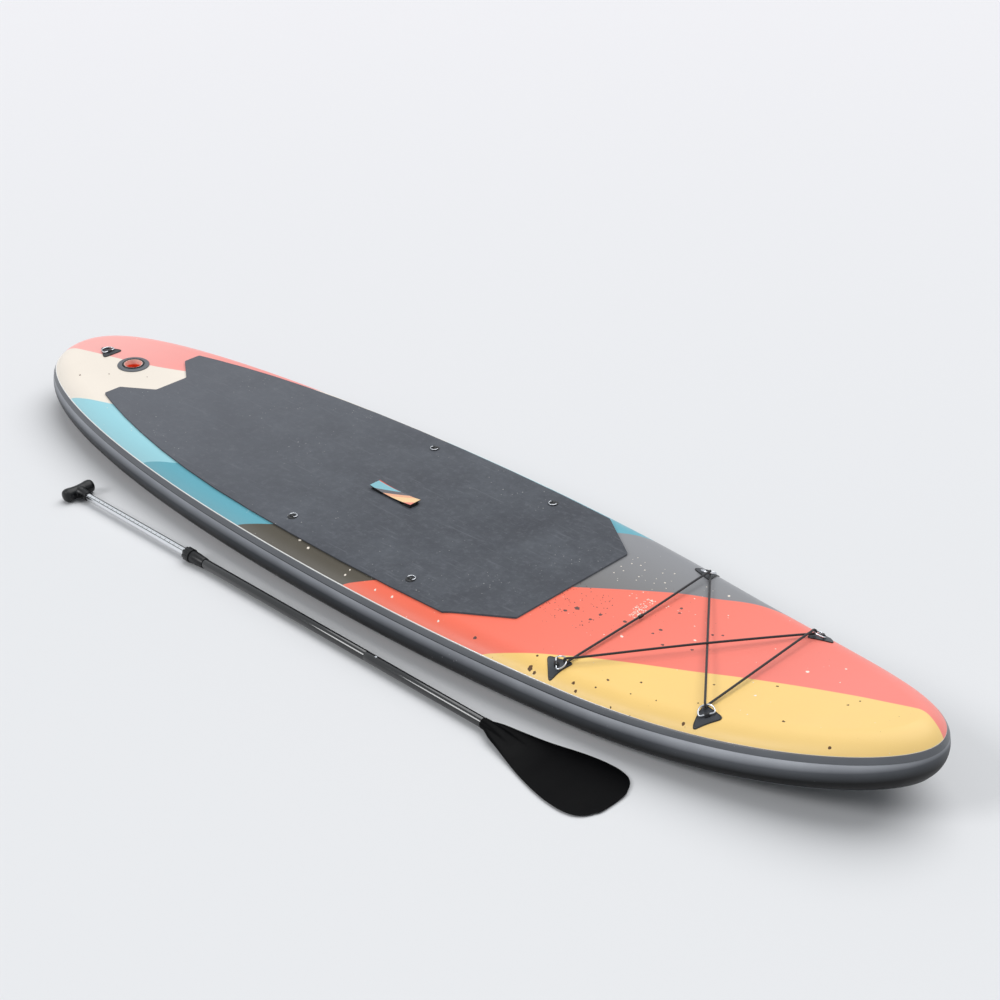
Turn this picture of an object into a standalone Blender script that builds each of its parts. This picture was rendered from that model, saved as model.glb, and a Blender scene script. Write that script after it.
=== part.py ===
# Inflatable stand-up paddle board with its three-piece adjustable paddle.
# Metres, +Z up, +X to the nose. The origin is the middle of the flat bottom, on the floor.

import math

import bmesh
import bpy
import numpy as np
from mathutils import Matrix, Vector

# Clearances
GAP = 0.0003
DRAPE_GAP = 0.0006
SEAM_OPENING = 0.0009

# Hull form
BOARD_LENGTH = 3.200
BOARD_WIDTH = 0.760
BOARD_THICKNESS = 0.150
RAIL_RADIUS = BOARD_THICKNESS / 2
NOSE_FULLNESS = 0.547
TAIL_FULLNESS = 0.450
NOSE_ROCKER_REACH = 0.839
NOSE_ROCKER_RATE = 0.162
TAIL_ROCKER_REACH = 1.150
TAIL_ROCKER_RATE = 0.0149
NOSE_STATIONS = 14
TAIL_STATIONS = 12
STATION_CROWDING = 1.9

# Hull layers
SKIN = 0.0012
TAPE = 0.0009
DECK_SEAM = 63.35
DECK_TAPE_WIDTH = 13.3
BOTTOM_SEAM = 140.0
BOTTOM_TAPE_WIDTH = 6.5
DECK_STEPS = 4
RAIL_STEPS = 5
BOTTOM_STEPS = 3

# Deck pad
PAD_THICKNESS = 0.0050
PAD_FROM_TAIL = 0.396
PAD_FROM_NOSE = 1.083
PAD_OVERHANG = 0.019
PAD_TAIL_INSET = 0.065
PAD_CORNER_LENGTH = 0.154
PAD_FRONT_HALF = 0.2095
PAD_NOTCH_DEPTH = 0.091
PAD_NOTCH_MOUTH = 0.123
PAD_NOTCH_FLOOR = 0.057
PAD_CORNER_RADIUS = 0.014

# Carry handle
HANDLE_X = -0.135
HANDLE_LENGTH = 0.160
HANDLE_WIDTH = 0.038
HANDLE_RISE = 0.0180
HANDLE_SAG = 0.0030
SLEEVE_THICKNESS = 0.0030
WEBBING = 0.0016
WEBBING_WIDTH = 0.030
FOOT_LENGTH = 0.026
FOOT_INSET = 0.012
ANCHOR_THICKNESS = 0.0012
ANCHOR_MARGIN = 0.004
WINDOW_MARGIN = 0.0015
FOLD_ROOM = 0.0055

# Rings and their patches
PATCH_HEIGHT = 0.066
PATCH_BASE = 0.076
PATCH_CORNER = 0.008
PATCH_THICKNESS = 0.0026
REAR_PATCH_FROM_NOSE = 0.871
FRONT_PATCH_FROM_NOSE = 0.486
PATCH_OUTSIDE_FLAT = 0.0135
TAIL_PATCH_FROM_TAIL = 0.166
RING_WIDTH = 0.043
RING_DEPTH = 0.030
RING_WIRE = 0.0040
PAD_RING_WIDTH = 0.024
PAD_RING_DEPTH = 0.017
PAD_RING_WIRE = 0.0028
PAD_RING_INSET = 0.061
PAD_RING_BEFORE_HANDLE = 0.338
PAD_RING_BEHIND_HANDLE = 0.117
PAD_RING_BASE_RADIUS = 0.0125
PAD_RING_BASE_THICKNESS = 0.0015
LOOP_WIDTH = 0.012
LOOP_WALL = 0.0016
BORE_CLEARANCE = 0.0004

# Bungee
CORD = 0.0060
CORD_STEP = 0.065
NET_RISE = 0.0095
FERRULE_LENGTH = 0.016
FERRULE_RADIUS = 0.0045

# Inflation valve
VALVE_FROM_TAIL = 0.299
VALVE_PATCH_RADIUS = 0.0490
VALVE_PATCH_HEIGHT = 0.0040
VALVE_COLLAR_RADIUS = 0.0340
VALVE_COLLAR_HEIGHT = 0.0062
VALVE_BORE = 0.0285
VALVE_NECK_WALL = 0.0022
VALVE_NECK_DEPTH = 0.0120
VALVE_NUT_WIDTH = 0.0120
CUP_WALL = 0.0015
CUP_DEPTH = 0.0220
CUP_RIM_DROP = 0.0012
STEM_RADIUS = 0.0035
STEM_HEAD_RADIUS = 0.0070
STEM_HEAD_THICKNESS = 0.0020
VALVE_TRAVEL = 0.0050
VENT_COUNT = 4
VENT_RADIUS = 0.0042
POPPET_RADIUS = 0.0190
POPPET_THICKNESS = 0.0030
CUP_FLOOR = 0.0020
VENT_REACH = 0.0135
SPRING_WIRE = 0.0009
SPRING_TURNS = 3.5

# Fin base
FIN_BASE_FROM_TAIL = 0.405
FIN_BASE_LENGTH = 0.250
FIN_BASE_WIDTH = 0.064
FIN_BASE_PLATE = 0.0014
FIN_TRACK_HEIGHT = 0.0030
FIN_TRACK_WIDTH = 0.030
FIN_SLOT_WIDTH = 0.011
FIN_TRACK_LENGTH = 0.225

# Paddle
PADDLE_BESIDE_RAIL = 0.067
SEAM_X = 0.2265
LOCK_X = -0.4655
THROAT_X = 0.6335
UPPER_END_X = -0.9650
UPPER_INSERTION = 0.240
TUBE_RADIUS = 0.0135
TUBE_WALL = 0.0014
UPPER_RADIUS = 0.0110
UPPER_WALL = 0.0011
GRIP_WIDTH = 0.112
GRIP_RADIUS = 0.0205
GRIP_WAIST = 0.0185
GRIP_NECK_LENGTH = 0.050
GRIP_NECK_WALL = 0.0030
NUT_LENGTH = 0.026
NUT_RADIUS = 0.0196
NUT_WALL = 0.0032
NUT_LUGS = 8
LUG_RADIUS = 0.0042
SPIGOT_RADIUS = 0.0150
SLEEVE_RADIUS = 0.0172
SLEEVE_LENGTH = 0.054
COLLET_WALL = 0.0014
COLLET_SLITS = 4
SLIT_WIDTH = 0.0012
FERRULE_REACH = 0.095
FERRULE_WALL = 0.0014
BUTTON_FROM_SEAM = 0.035
BUTTON_RADIUS = 0.0038
BUTTON_STANDS = 0.0022
BUTTON_FLANGE = 0.0056
BUTTON_CLEARANCE = 0.0004
LEAF_WIDTH = 0.0060
LEAF_THICKNESS = 0.0006
LEAF_LENGTH = 0.030
BLADE_LENGTH = 0.412
BLADE_WIDTH = 0.206
BLADE_DROP = 0.0152
BLADE_EDGE = 0.0026
BLADE_RIB_HALF = 0.017
PLUG_LENGTH = 0.050

# The blade's half width along its length, as shares of both sizes, from the throat to the tip
BLADE_OUTLINE = ((0.0, 0.131), (0.04, 0.17), (0.10, 0.29), (0.19, 0.40), (0.33, 0.58), (0.47, 0.76),
                 (0.62, 0.915), (0.73, 0.985), (0.81, 1.0), (0.885, 0.95), (0.94, 0.82), (0.98, 0.56),
                 (1.0, 0.24))

SIDES = 20

parts = bpy.data.collections.new("stand_up_paddle_board")
cutters = bpy.data.collections.new("cutters")


# Tools for making objects

def clear_scene():
    for obj in list(bpy.data.objects):
        bpy.data.objects.remove(obj, do_unlink=True)


def material(name, color, roughness, metallic=0.0):
    found = bpy.data.materials.get(name)
    if found:
        return found
    made = bpy.data.materials.new(name)
    made.use_nodes = True
    shader = made.node_tree.nodes["Principled BSDF"]
    shader.inputs["Base Color"].default_value = (*color, 1.0)
    shader.inputs["Roughness"].default_value = roughness
    shader.inputs["Metallic"].default_value = metallic
    made.diffuse_color = (*color, 1.0)
    return made


def place(name, data, look=None, parent=None, collection=None):
    obj = bpy.data.objects.new(name, data)
    (collection or parts).objects.link(obj)
    obj.parent = parent
    if look:
        data.materials.append(look)
    return obj


def mesh_from(name, build, sharp=35.0):
    mesh = bpy.data.meshes.new(name)
    build.to_mesh(mesh)
    build.free()
    mesh.shade_smooth()
    mesh.set_sharp_from_angle(angle=math.radians(sharp))
    return mesh


def grid(rows, around=False):
    # Quads between neighbouring rows of points; points that meet at a tip become one
    build = bmesh.new()
    made = [[build.verts.new(point) for point in row] for row in rows]
    for row, following in zip(made, made[1:]):
        last = len(row) if around else len(row) - 1
        for j in range(last):
            k = (j + 1) % len(row)
            build.faces.new((row[j], row[k], following[k], following[j]))
    bmesh.ops.remove_doubles(build, verts=build.verts, dist=0.00001)
    return build


def capped(rows):
    # A loft through closed sections, with both ends filled
    build = bmesh.new()
    made = [[build.verts.new(point) for point in row] for row in rows]
    for row, following in zip(made, made[1:]):
        for j in range(len(row)):
            k = (j + 1) % len(row)
            build.faces.new((row[j], row[k], following[k], following[j]))
    build.faces.new(made[0])
    build.faces.new(made[-1])
    bmesh.ops.recalc_face_normals(build, faces=build.faces)
    return build


def solidify(obj, thickness, outward=False):
    made = obj.modifiers.new("thickness", "SOLIDIFY")
    made.thickness = thickness
    made.offset = 1.0 if outward else -1.0
    return made


def bevel(obj, width, segments=2, angle=40.0):
    made = obj.modifiers.new("rounding", "BEVEL")
    made.width = width
    made.segments = segments
    made.limit_method = "ANGLE"
    made.angle_limit = math.radians(angle)
    return made


def turned(name, profile, look=None, parent=None, collection=None, steps=SIDES):
    # profile runs as (radius, height), down the outer side first, then back up the bore
    build = bmesh.new()
    verts = [build.verts.new((radius, 0.0, height)) for radius, height in profile]
    on_axis = profile[0][0] == 0.0 and profile[-1][0] == 0.0
    pairs = list(zip(verts, verts[1:]))
    if not on_axis:
        pairs.append((verts[-1], verts[0]))
    for pair in pairs:
        build.edges.new(pair)
    obj = place(name, mesh_from(name, build), look, parent, collection)
    screw = obj.modifiers.new("turning", "SCREW")
    screw.steps = steps
    screw.render_steps = steps
    screw.use_merge_vertices = True
    screw.merge_threshold = 0.00001
    screw.use_smooth_shade = False
    return obj


def rounded(outline, radius, pieces=3):
    # The same closed outline with its sharp corners eased
    points = []
    for i, corner in enumerate(outline):
        here = Vector(corner)
        before = Vector(outline[i - 1]) - here
        after = Vector(outline[(i + 1) % len(outline)]) - here
        if before.angle(-after) < math.radians(15):
            points.append(corner)
            continue
        cut = min(radius, before.length * 0.45, after.length * 0.45)
        start = here + before.normalized() * cut
        end = here + after.normalized() * cut
        for k in range(pieces + 1):
            t = k / pieces
            eased = start.lerp(here, t).lerp(here.lerp(end, t), t)
            points.append((eased.x, eased.y))
    return points


def flat_curve(name, loops, thickness, look=None, parent=None, collection=None):
    # A flat outline with any holes, as thick as given, centred on its own plane
    data = bpy.data.curves.new(name, "CURVE")
    data.dimensions = "2D"
    data.fill_mode = "BOTH"
    data.extrude = thickness / 2
    for loop in loops:
        spline = data.splines.new("POLY")
        spline.points.add(len(loop) - 1)
        for point, (x, y) in zip(spline.points, loop):
            point.co = (x, y, 0.0, 1.0)
        spline.use_cyclic_u = True
    return place(name, data, look, parent, collection)


def wire(name, points, radius, look=None, parent=None, closed=False, resolution=2, collection=None):
    data = bpy.data.curves.new(name, "CURVE")
    data.dimensions = "3D"
    data.bevel_depth = radius
    data.bevel_resolution = resolution
    data.use_fill_caps = True
    spline = data.splines.new("POLY")
    spline.points.add(len(points) - 1)
    for point, where in zip(spline.points, points):
        point.co = (*where, 1.0)
    spline.use_cyclic_u = closed
    return place(name, data, look, parent, collection)


def as_mesh(obj):
    # Turns a curve into a welded mesh that a Boolean modifier can use
    bpy.context.view_layer.update()
    depsgraph = bpy.context.evaluated_depsgraph_get()
    mesh = bpy.data.meshes.new_from_object(obj.evaluated_get(depsgraph))
    build = bmesh.new()
    build.from_mesh(mesh)
    bmesh.ops.remove_doubles(build, verts=build.verts, dist=0.00001)
    bmesh.ops.recalc_face_normals(build, faces=build.faces)
    build.to_mesh(mesh)
    build.free()
    name = obj.name
    collection = obj.users_collection[0]
    parent = obj.parent
    matrix = obj.matrix_world.copy()
    bpy.data.objects.remove(obj, do_unlink=True)
    made = bpy.data.objects.new(name, mesh)
    collection.objects.link(made)
    made.parent = parent
    made.matrix_world = matrix
    return made


def combine(target, other, operation):
    made = target.modifiers.new(operation.lower(), "BOOLEAN")
    made.object = other
    made.operation = operation
    made.solver = "EXACT"
    other.hide_render = True
    other.display_type = "WIRE"
    return made


def cylinder(name, radius, low, high, parent=None, steps=SIDES, collection=None, look=None):
    profile = [(0.0, high), (radius, high), (radius, low), (0.0, low)]
    return turned(name, profile, look, parent, collection or cutters, steps)


def empty(name, location, rotation=(0.0, 0.0, 0.0), parent=None):
    obj = bpy.data.objects.new(name, None)
    parts.objects.link(obj)
    obj.parent = parent
    obj.location = location
    obj.rotation_euler = rotation
    return obj


# Materials, by their colour and finish

def looks():
    return {
        "deck": material("deck_print", (0.93, 0.55, 0.42), 0.42),
        "bottom": material("bottom_sheet", (0.92, 0.33, 0.12), 0.45),
        "rail": material("rail_sheet", (0.10, 0.11, 0.12), 0.38),
        "tape": material("seam_tape", (0.13, 0.14, 0.15), 0.42),
        "core": material("drop_stitch", (0.80, 0.80, 0.78), 0.80),
        "foam": material("pad_foam", (0.11, 0.12, 0.14), 0.75),
        "webbing": material("black_webbing", (0.015, 0.015, 0.017), 0.70),
        "sleeve": material("handle_print", (0.75, 0.60, 0.45), 0.55),
        "patch": material("black_patch", (0.03, 0.03, 0.035), 0.50),
        "steel": material("ring_steel", (0.75, 0.76, 0.78), 0.18, 1.0),
        "spring": material("spring_steel", (0.62, 0.63, 0.65), 0.30, 1.0),
        "cord": material("cord_cover", (0.05, 0.05, 0.06), 0.75),
        "grey": material("grey_plastic", (0.33, 0.34, 0.36), 0.45),
        "dark": material("dark_plastic", (0.02, 0.02, 0.022), 0.40),
        "orange": material("orange_plastic", (0.85, 0.09, 0.02), 0.30),
        "alloy": material("anodised_tube", (0.66, 0.67, 0.69), 0.28, 1.0),
        "shaft": material("black_tube", (0.015, 0.015, 0.017), 0.30),
        "blade": material("black_nylon", (0.02, 0.02, 0.022), 0.48),
        "rubber": material("seal_rubber", (0.04, 0.04, 0.04), 0.85),
    }


# The hull's form

FLAT_HALF_LENGTH = BOARD_LENGTH / 2 - RAIL_RADIUS
FLAT_HALF_WIDTH = BOARD_WIDTH / 2 - RAIL_RADIUS


def half_width(x):
    # Half the width of the flat deck, inside the round of the rail
    fullness = NOSE_FULLNESS if x > 0 else TAIL_FULLNESS
    inside = max(1.0 - (x / FLAT_HALF_LENGTH) ** 2, 0.0)
    return FLAT_HALF_WIDTH * inside ** fullness


def rocker(x):
    nose = max(x - (BOARD_LENGTH / 2 - NOSE_ROCKER_REACH), 0.0)
    tail = max(-x - (BOARD_LENGTH / 2 - TAIL_ROCKER_REACH), 0.0)
    return NOSE_ROCKER_RATE * nose ** 2 + TAIL_ROCKER_RATE * tail ** 2


def outward(x):
    # The outline's outward direction in plan, on the +Y side
    share = x / FLAT_HALF_LENGTH
    inside = 1.0 - share ** 2
    if inside < 1e-9:
        return math.copysign(1.0, x), 0.0
    fullness = NOSE_FULLNESS if x > 0 else TAIL_FULLNESS
    slope = -2 * FLAT_HALF_WIDTH * fullness * share * inside ** (fullness - 1) / FLAT_HALF_LENGTH
    size = math.hypot(slope, 1.0)
    return -slope / size, 1.0 / size


def station_places():
    # Closer together toward the tips, where the outline turns
    tail = [-FLAT_HALF_LENGTH * math.cos(math.pi / 2 * (i / TAIL_STATIONS) ** STATION_CROWDING)
            for i in range(TAIL_STATIONS)]
    nose = [FLAT_HALF_LENGTH * math.cos(math.pi / 2 * (i / NOSE_STATIONS) ** STATION_CROWDING)
            for i in range(NOSE_STATIONS)]
    return tail + [0.0] + nose[::-1]


STATIONS = station_places()
STATION_RISES = [rocker(x) for x in STATIONS]


def rise(x):
    # The rocker as the straight runs between stations make it
    return float(np.interp(x, STATIONS, STATION_RISES))


def hull_point(x, side, degrees, radius):
    # degrees is 0 at the deck's edge and 180 at the bottom's
    along, across = outward(x)
    angle = math.radians(degrees)
    reach = radius * math.sin(angle)
    height = RAIL_RADIUS + rocker(x) + radius * math.cos(angle)
    return x + along * reach, side * (half_width(x) + across * reach), height


def deck_height(x, y):
    # The deck's top surface, flat and then falling over the rail's shoulder
    along, across = outward(x)
    beyond = max((abs(y) - half_width(x)) * across, 0.0)
    foot = x - along * beyond
    return RAIL_RADIUS + rise(foot) + math.sqrt(max(RAIL_RADIUS ** 2 - beyond ** 2, 0.0))


def seat(name, x, half_length, bottom=False):
    # An empty on the deck at x, or under the bottom there, pitched with the rocker
    low = rise(x - half_length)
    high = rise(x + half_length)
    middle = (low + high) / 2
    pitch = math.atan2(high - low, 2 * half_length)
    base = 0.0 if bottom else BOARD_THICKNESS
    return empty(name, (x, 0.0, base + middle), (0.0, -pitch, 0.0))


def least_gap(points, thickness):
    # The smallest air between two stretches of one wire that lie more than half a turn apart
    found = 1.0
    for i, first in enumerate(points):
        for second in points[i + 5:]:
            found = min(found, (Vector(first) - Vector(second)).length - thickness)
    return found


def steps_between(low, high, count):
    return [low + (high - low) * i / count for i in range(count + 1)]


def deck_angles(end):
    return steps_between(0.0, DECK_SEAM, DECK_STEPS)[:-1] + [end]


def bottom_angles(start):
    return [start] + steps_between(BOTTOM_SEAM, 180.0, BOTTOM_STEPS)[1:]


SEAM_GAP = math.degrees(SEAM_OPENING / RAIL_RADIUS) / 2


def sheet_rows(angles, radius, bottom=False):
    # Rows from tail to nose, each from one rail edge over the flat to the other
    side = -1 if bottom else 1
    rows = []
    for x in STATIONS:
        first = [hull_point(x, side, degrees, radius) for degrees in angles]
        second = [hull_point(x, -side, degrees, radius) for degrees in reversed(angles)]
        rows.append(first + second)
    return rows


def band_rows(angles, radius):
    # Rows once round the outline, each from the upper edge of the band to its lower edge
    near = [[hull_point(x, -1, degrees, radius) for degrees in angles] for x in STATIONS]
    far = [[hull_point(x, 1, degrees, radius) for degrees in angles] for x in STATIONS[::-1]]
    return near + far


def build_hull(look):
    deck = deck_angles(DECK_SEAM)
    rail = steps_between(DECK_SEAM, BOTTOM_SEAM, RAIL_STEPS)
    bottom = bottom_angles(BOTTOM_SEAM)
    core_radius = RAIL_RADIUS - SKIN - GAP
    rows = []
    for x in STATIONS:
        angles = deck + rail[1:] + bottom[1:]
        far = [hull_point(x, 1, degrees, core_radius) for degrees in reversed(angles)]
        near = [hull_point(x, -1, degrees, core_radius) for degrees in angles]
        rows.append(far + near)
    build = grid(rows, around=True)
    bmesh.ops.recalc_face_normals(build, faces=build.faces)
    core = place("drop_stitch_core", mesh_from("drop_stitch_core", build), look["core"])

    rows = sheet_rows(deck_angles(DECK_SEAM - SEAM_GAP)[::-1], RAIL_RADIUS)
    skin = place("deck_skin", mesh_from("deck_skin", grid(rows)), look["deck"])
    solidify(skin, SKIN)

    rows = sheet_rows(bottom_angles(BOTTOM_SEAM + SEAM_GAP), RAIL_RADIUS, bottom=True)
    under = place("bottom_skin", mesh_from("bottom_skin", grid(rows)), look["bottom"])
    solidify(under, SKIN)

    ends = [DECK_SEAM + SEAM_GAP] + rail[1:-1] + [BOTTOM_SEAM - SEAM_GAP]
    band = place("rail_band", mesh_from("rail_band", grid(band_rows(ends, RAIL_RADIUS))), look["rail"])
    solidify(band, SKIN)

    tape_radius = RAIL_RADIUS + GAP + TAPE
    for name, middle, width, count in (("deck_seam_tape", DECK_SEAM, DECK_TAPE_WIDTH, 2),
                                       ("bottom_seam_tape", BOTTOM_SEAM, BOTTOM_TAPE_WIDTH, 1)):
        angles = steps_between(middle - width / 2, middle + width / 2, count)
        tape = place(name, mesh_from(name, grid(band_rows(angles, tape_radius))), look["tape"])
        solidify(tape, TAPE)
    return core, skin


# The traction pad

PAD_TAIL = -BOARD_LENGTH / 2 + PAD_FROM_TAIL
PAD_FRONT = BOARD_LENGTH / 2 - PAD_FROM_NOSE
PAD_LEVEL = GAP + PAD_THICKNESS


def pad_half(x):
    # Follows the outline, draws in over the tail, and is cut off at both front corners
    start = -BOARD_LENGTH / 2 + TAIL_ROCKER_REACH
    tail = PAD_TAIL_INSET * max(start - x, 0.0) ** 2
    side = half_width(x) + PAD_OVERHANG - tail
    corner = PAD_FRONT - PAD_CORNER_LENGTH
    if x <= corner:
        return side
    share = (x - corner) / PAD_CORNER_LENGTH
    return (half_width(corner) + PAD_OVERHANG) * (1 - share) + PAD_FRONT_HALF * share


def pad_outline():
    # Seen from above: the sides follow the board, the front corners are cut off and the tail is notched
    corner = PAD_FRONT - PAD_CORNER_LENGTH
    places = [PAD_TAIL] + [x for x in STATIONS if PAD_TAIL < x < corner] + [corner, PAD_FRONT]
    side = [(x, pad_half(x)) for x in places]
    notch = [(PAD_TAIL + PAD_NOTCH_DEPTH, PAD_NOTCH_FLOOR), (PAD_TAIL, PAD_NOTCH_MOUTH)]
    half = notch + side
    return rounded([(x, -y) for x, y in half] + half[::-1], PAD_CORNER_RADIUS)


def build_pad(look):
    # A sheet of foam laid on the deck's facets, trimmed to its outline
    inside = [i for i, x in enumerate(STATIONS) if PAD_TAIL < x < PAD_FRONT]
    angles = deck_angles(DECK_SEAM)[2::-1]
    rows = sheet_rows(angles, RAIL_RADIUS + GAP)[inside[0] - 1:inside[-1] + 2]
    pad = place("deck_pad", mesh_from("deck_pad", grid(rows)), look["foam"])
    solidify(pad, PAD_THICKNESS, outward=True)
    trim = flat_curve("pad_trim", [pad_outline()], BOARD_THICKNESS, collection=cutters)
    trim.location = (0.0, 0.0, BOARD_THICKNESS)
    combine(pad, as_mesh(trim), "INTERSECT")
    for name, x in foot_places():
        half = FOOT_LENGTH / 2 + ANCHOR_MARGIN + FOLD_ROOM
        side = WEBBING_WIDTH / 2 + ANCHOR_MARGIN / 2 + WINDOW_MARGIN
        window = [(x - half, -side), (x + half, -side), (x + half, side), (x - half, side)]
        cutter = flat_curve("pad_window_" + name, [window], BOARD_THICKNESS / 2, collection=cutters)
        cutter.location = (0.0, 0.0, BOARD_THICKNESS)
        combine(pad, as_mesh(cutter), "DIFFERENCE")
    return pad


# The carry handle

def foot_places():
    reach = HANDLE_LENGTH / 2 - FOOT_INSET - FOOT_LENGTH / 2
    return ("rear", HANDLE_X - reach), ("front", HANDLE_X + reach)


def sleeve_bottom(offset):
    # The sleeve's underside above the deck, sagging between its ends
    share = offset / (HANDLE_LENGTH / 2)
    return HANDLE_RISE - SLEEVE_THICKNESS - HANDLE_SAG * (1 - share ** 2)


def band(name, path, width, thickness, look):
    # A strap of even thickness along a path of (x, height), above the path where it runs to +X
    rows = [[(x, width / 2, height), (x, -width / 2, height)] for x, height in path]
    obj = place(name, mesh_from(name, grid(rows), 60.0), look)
    solidify(obj, thickness, outward=True).use_even_offset = True
    return obj


def build_handle(look):
    deck = BOARD_THICKNESS
    for name, x in foot_places():
        half = FOOT_LENGTH / 2 + ANCHOR_MARGIN
        side = WEBBING_WIDTH / 2 + ANCHOR_MARGIN / 2
        outline = [(-half, -side), (half, -side), (half, side), (-half, side)]
        anchor = flat_curve("handle_anchor_" + name, [outline], ANCHOR_THICKNESS, look["patch"])
        anchor.location = (x, 0.0, deck + GAP + ANCHOR_THICKNESS / 2)

    # From the front foot, out and up round the fold, and back under the sleeve to its middle
    low = ANCHOR_THICKNESS + 2 * GAP + WEBBING
    reach = HANDLE_LENGTH / 2 - FOOT_INSET
    fold = reach + FOOT_INSET * 0.45
    top = sleeve_bottom(fold) - GAP - WEBBING
    half = [(reach - FOOT_LENGTH, low), (reach, low)]
    turn = 6
    middle = (low + top) / 2
    radius = (top - low) / 2
    for i in range(1, turn):
        angle = math.pi * i / turn
        half.append((reach + (fold - reach) * math.sin(angle), middle - radius * math.cos(angle)))
    for share in (1.0, 0.75, 0.5, 0.25, 0.0):
        offset = reach * share
        half.append((offset, sleeve_bottom(offset) - GAP - WEBBING))
    path = [(-x, z) for x, z in half] + [(x, z) for x, z in half[-2::-1]]
    path = [(HANDLE_X + x, deck + z) for x, z in path]
    band("handle_strap", path, WEBBING_WIDTH, WEBBING, look["webbing"])

    steps = 10
    path = []
    for i in range(steps + 1):
        offset = HANDLE_LENGTH * (i / steps - 0.5)
        path.append((HANDLE_X + offset, deck + sleeve_bottom(offset)))
    sleeve = band("handle_sleeve", path, HANDLE_WIDTH, SLEEVE_THICKNESS, look["sleeve"])
    bevel(sleeve, SLEEVE_THICKNESS * 0.3, 1, 60.0)


# Rings, the loops that hold them and the patches under the loops

def ring_points(width, depth, radius):
    # Seen from above: the bar lies along Y at x = 0, and the bow reaches to +X
    half = width / 2 - radius
    bow = depth - 2 * radius
    corner = min(half, bow) * 0.3
    points = [(0.0, 0.0), (0.0, half - corner), (corner * 0.3, half - corner * 0.3)]
    turn = 5
    for i in range(turn + 1):
        angle = math.pi / 2 * i / turn
        points.append((corner + (bow - corner) * math.sin(angle), half * math.cos(angle) ** 0.8))
    mirrored = [(x, -y) for x, y in points[-2:0:-1]]
    return [(x, y, 0.0) for x, y in points + mirrored]


def loop_outline(wire_radius, drop):
    # Side view of the loop that holds a ring's bar, drop being the bar's height over its base
    hole = wire_radius + BORE_CLEARANCE
    shell = hole + LOOP_WALL
    turn = 8
    outline = []
    for i in range(turn + 1):
        angle = math.pi * i / turn
        outline.append((shell * math.cos(angle), shell * math.sin(angle)))
    outline += [(-shell * 1.5, -drop), (shell * 1.9, -drop)]
    bore = []
    for i in range(12):
        angle = 2 * math.pi * (i + 0.5) / 12
        bore.append((hole * math.cos(angle), hole * math.sin(angle)))
    return [outline, bore]


def add_loop(base, name, parent, wire_radius, drop):
    # The loop stands across the bar, so its side view is turned upright
    loop = flat_curve(name, loop_outline(wire_radius, drop), LOOP_WIDTH, parent=parent,
                      collection=cutters)
    loop.rotation_euler = (math.pi / 2, 0.0, 0.0)
    combine(base, as_mesh(loop), "UNION")


def triangle_rows(frame):
    # A round-cornered triangle draped on the deck, from its point to its base
    apex = PATCH_HEIGHT * 0.5
    spread = PATCH_BASE / 2 / PATCH_HEIGHT
    places = [0.0, PATCH_CORNER * 0.35, PATCH_CORNER, PATCH_HEIGHT * 0.3, PATCH_HEIGHT * 0.45,
              PATCH_HEIGHT * 0.6, PATCH_HEIGHT * 0.75, PATCH_HEIGHT - PATCH_CORNER * 0.7, PATCH_HEIGHT]
    rows = []
    for place_along in places:
        half = place_along * spread
        if place_along < PATCH_CORNER:
            share = 1 - place_along / PATCH_CORNER
            half = PATCH_CORNER * spread * math.sqrt(1 - share ** 2 * 0.75)
        if place_along == PATCH_HEIGHT:
            half -= PATCH_CORNER * 0.8
        row = []
        for across in (-1.0, -0.6, -0.2, 0.2, 0.6, 1.0):
            point = frame @ Vector((apex - place_along, across * half, 0.0))
            row.append((point.x, point.y, deck_height(point.x, point.y) + DRAPE_GAP))
        rows.append(row)
    return rows


def patch_top(point):
    return deck_height(point.x, point.y) + DRAPE_GAP + PATCH_THICKNESS


def bar_frame(frame, radius):
    # Where a ring's bar lies on its patch: along Y, with X along the patch and Z off it
    middle = frame @ Vector((RING_WIRE / 2 - RING_DEPTH / 2, 0.0, 0.0))
    inboard = (frame.to_3x3() @ Vector((1.0, 0.0, 0.0)))
    along = (frame.to_3x3() @ Vector((0.0, 1.0, 0.0)))
    half = RING_WIDTH / 2 - radius
    along.z = (patch_top(middle + along * half) - patch_top(middle - along * half)) / (2 * half)
    heights = []
    for share in (-1.0, -0.5, 0.0, 0.5, 1.0):
        point = middle + along * half * share
        heights.append(patch_top(point) - along.z * half * share)
    middle.z = max(heights) + GAP + radius
    near = patch_top(middle + inboard * radius) - patch_top(middle - inboard * radius)
    inboard.z = near / (2 * radius)
    across = along.normalized()
    normal = inboard.cross(across).normalized()
    forward = across.cross(normal)
    return middle, Matrix((forward, across, normal)).transposed()


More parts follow.
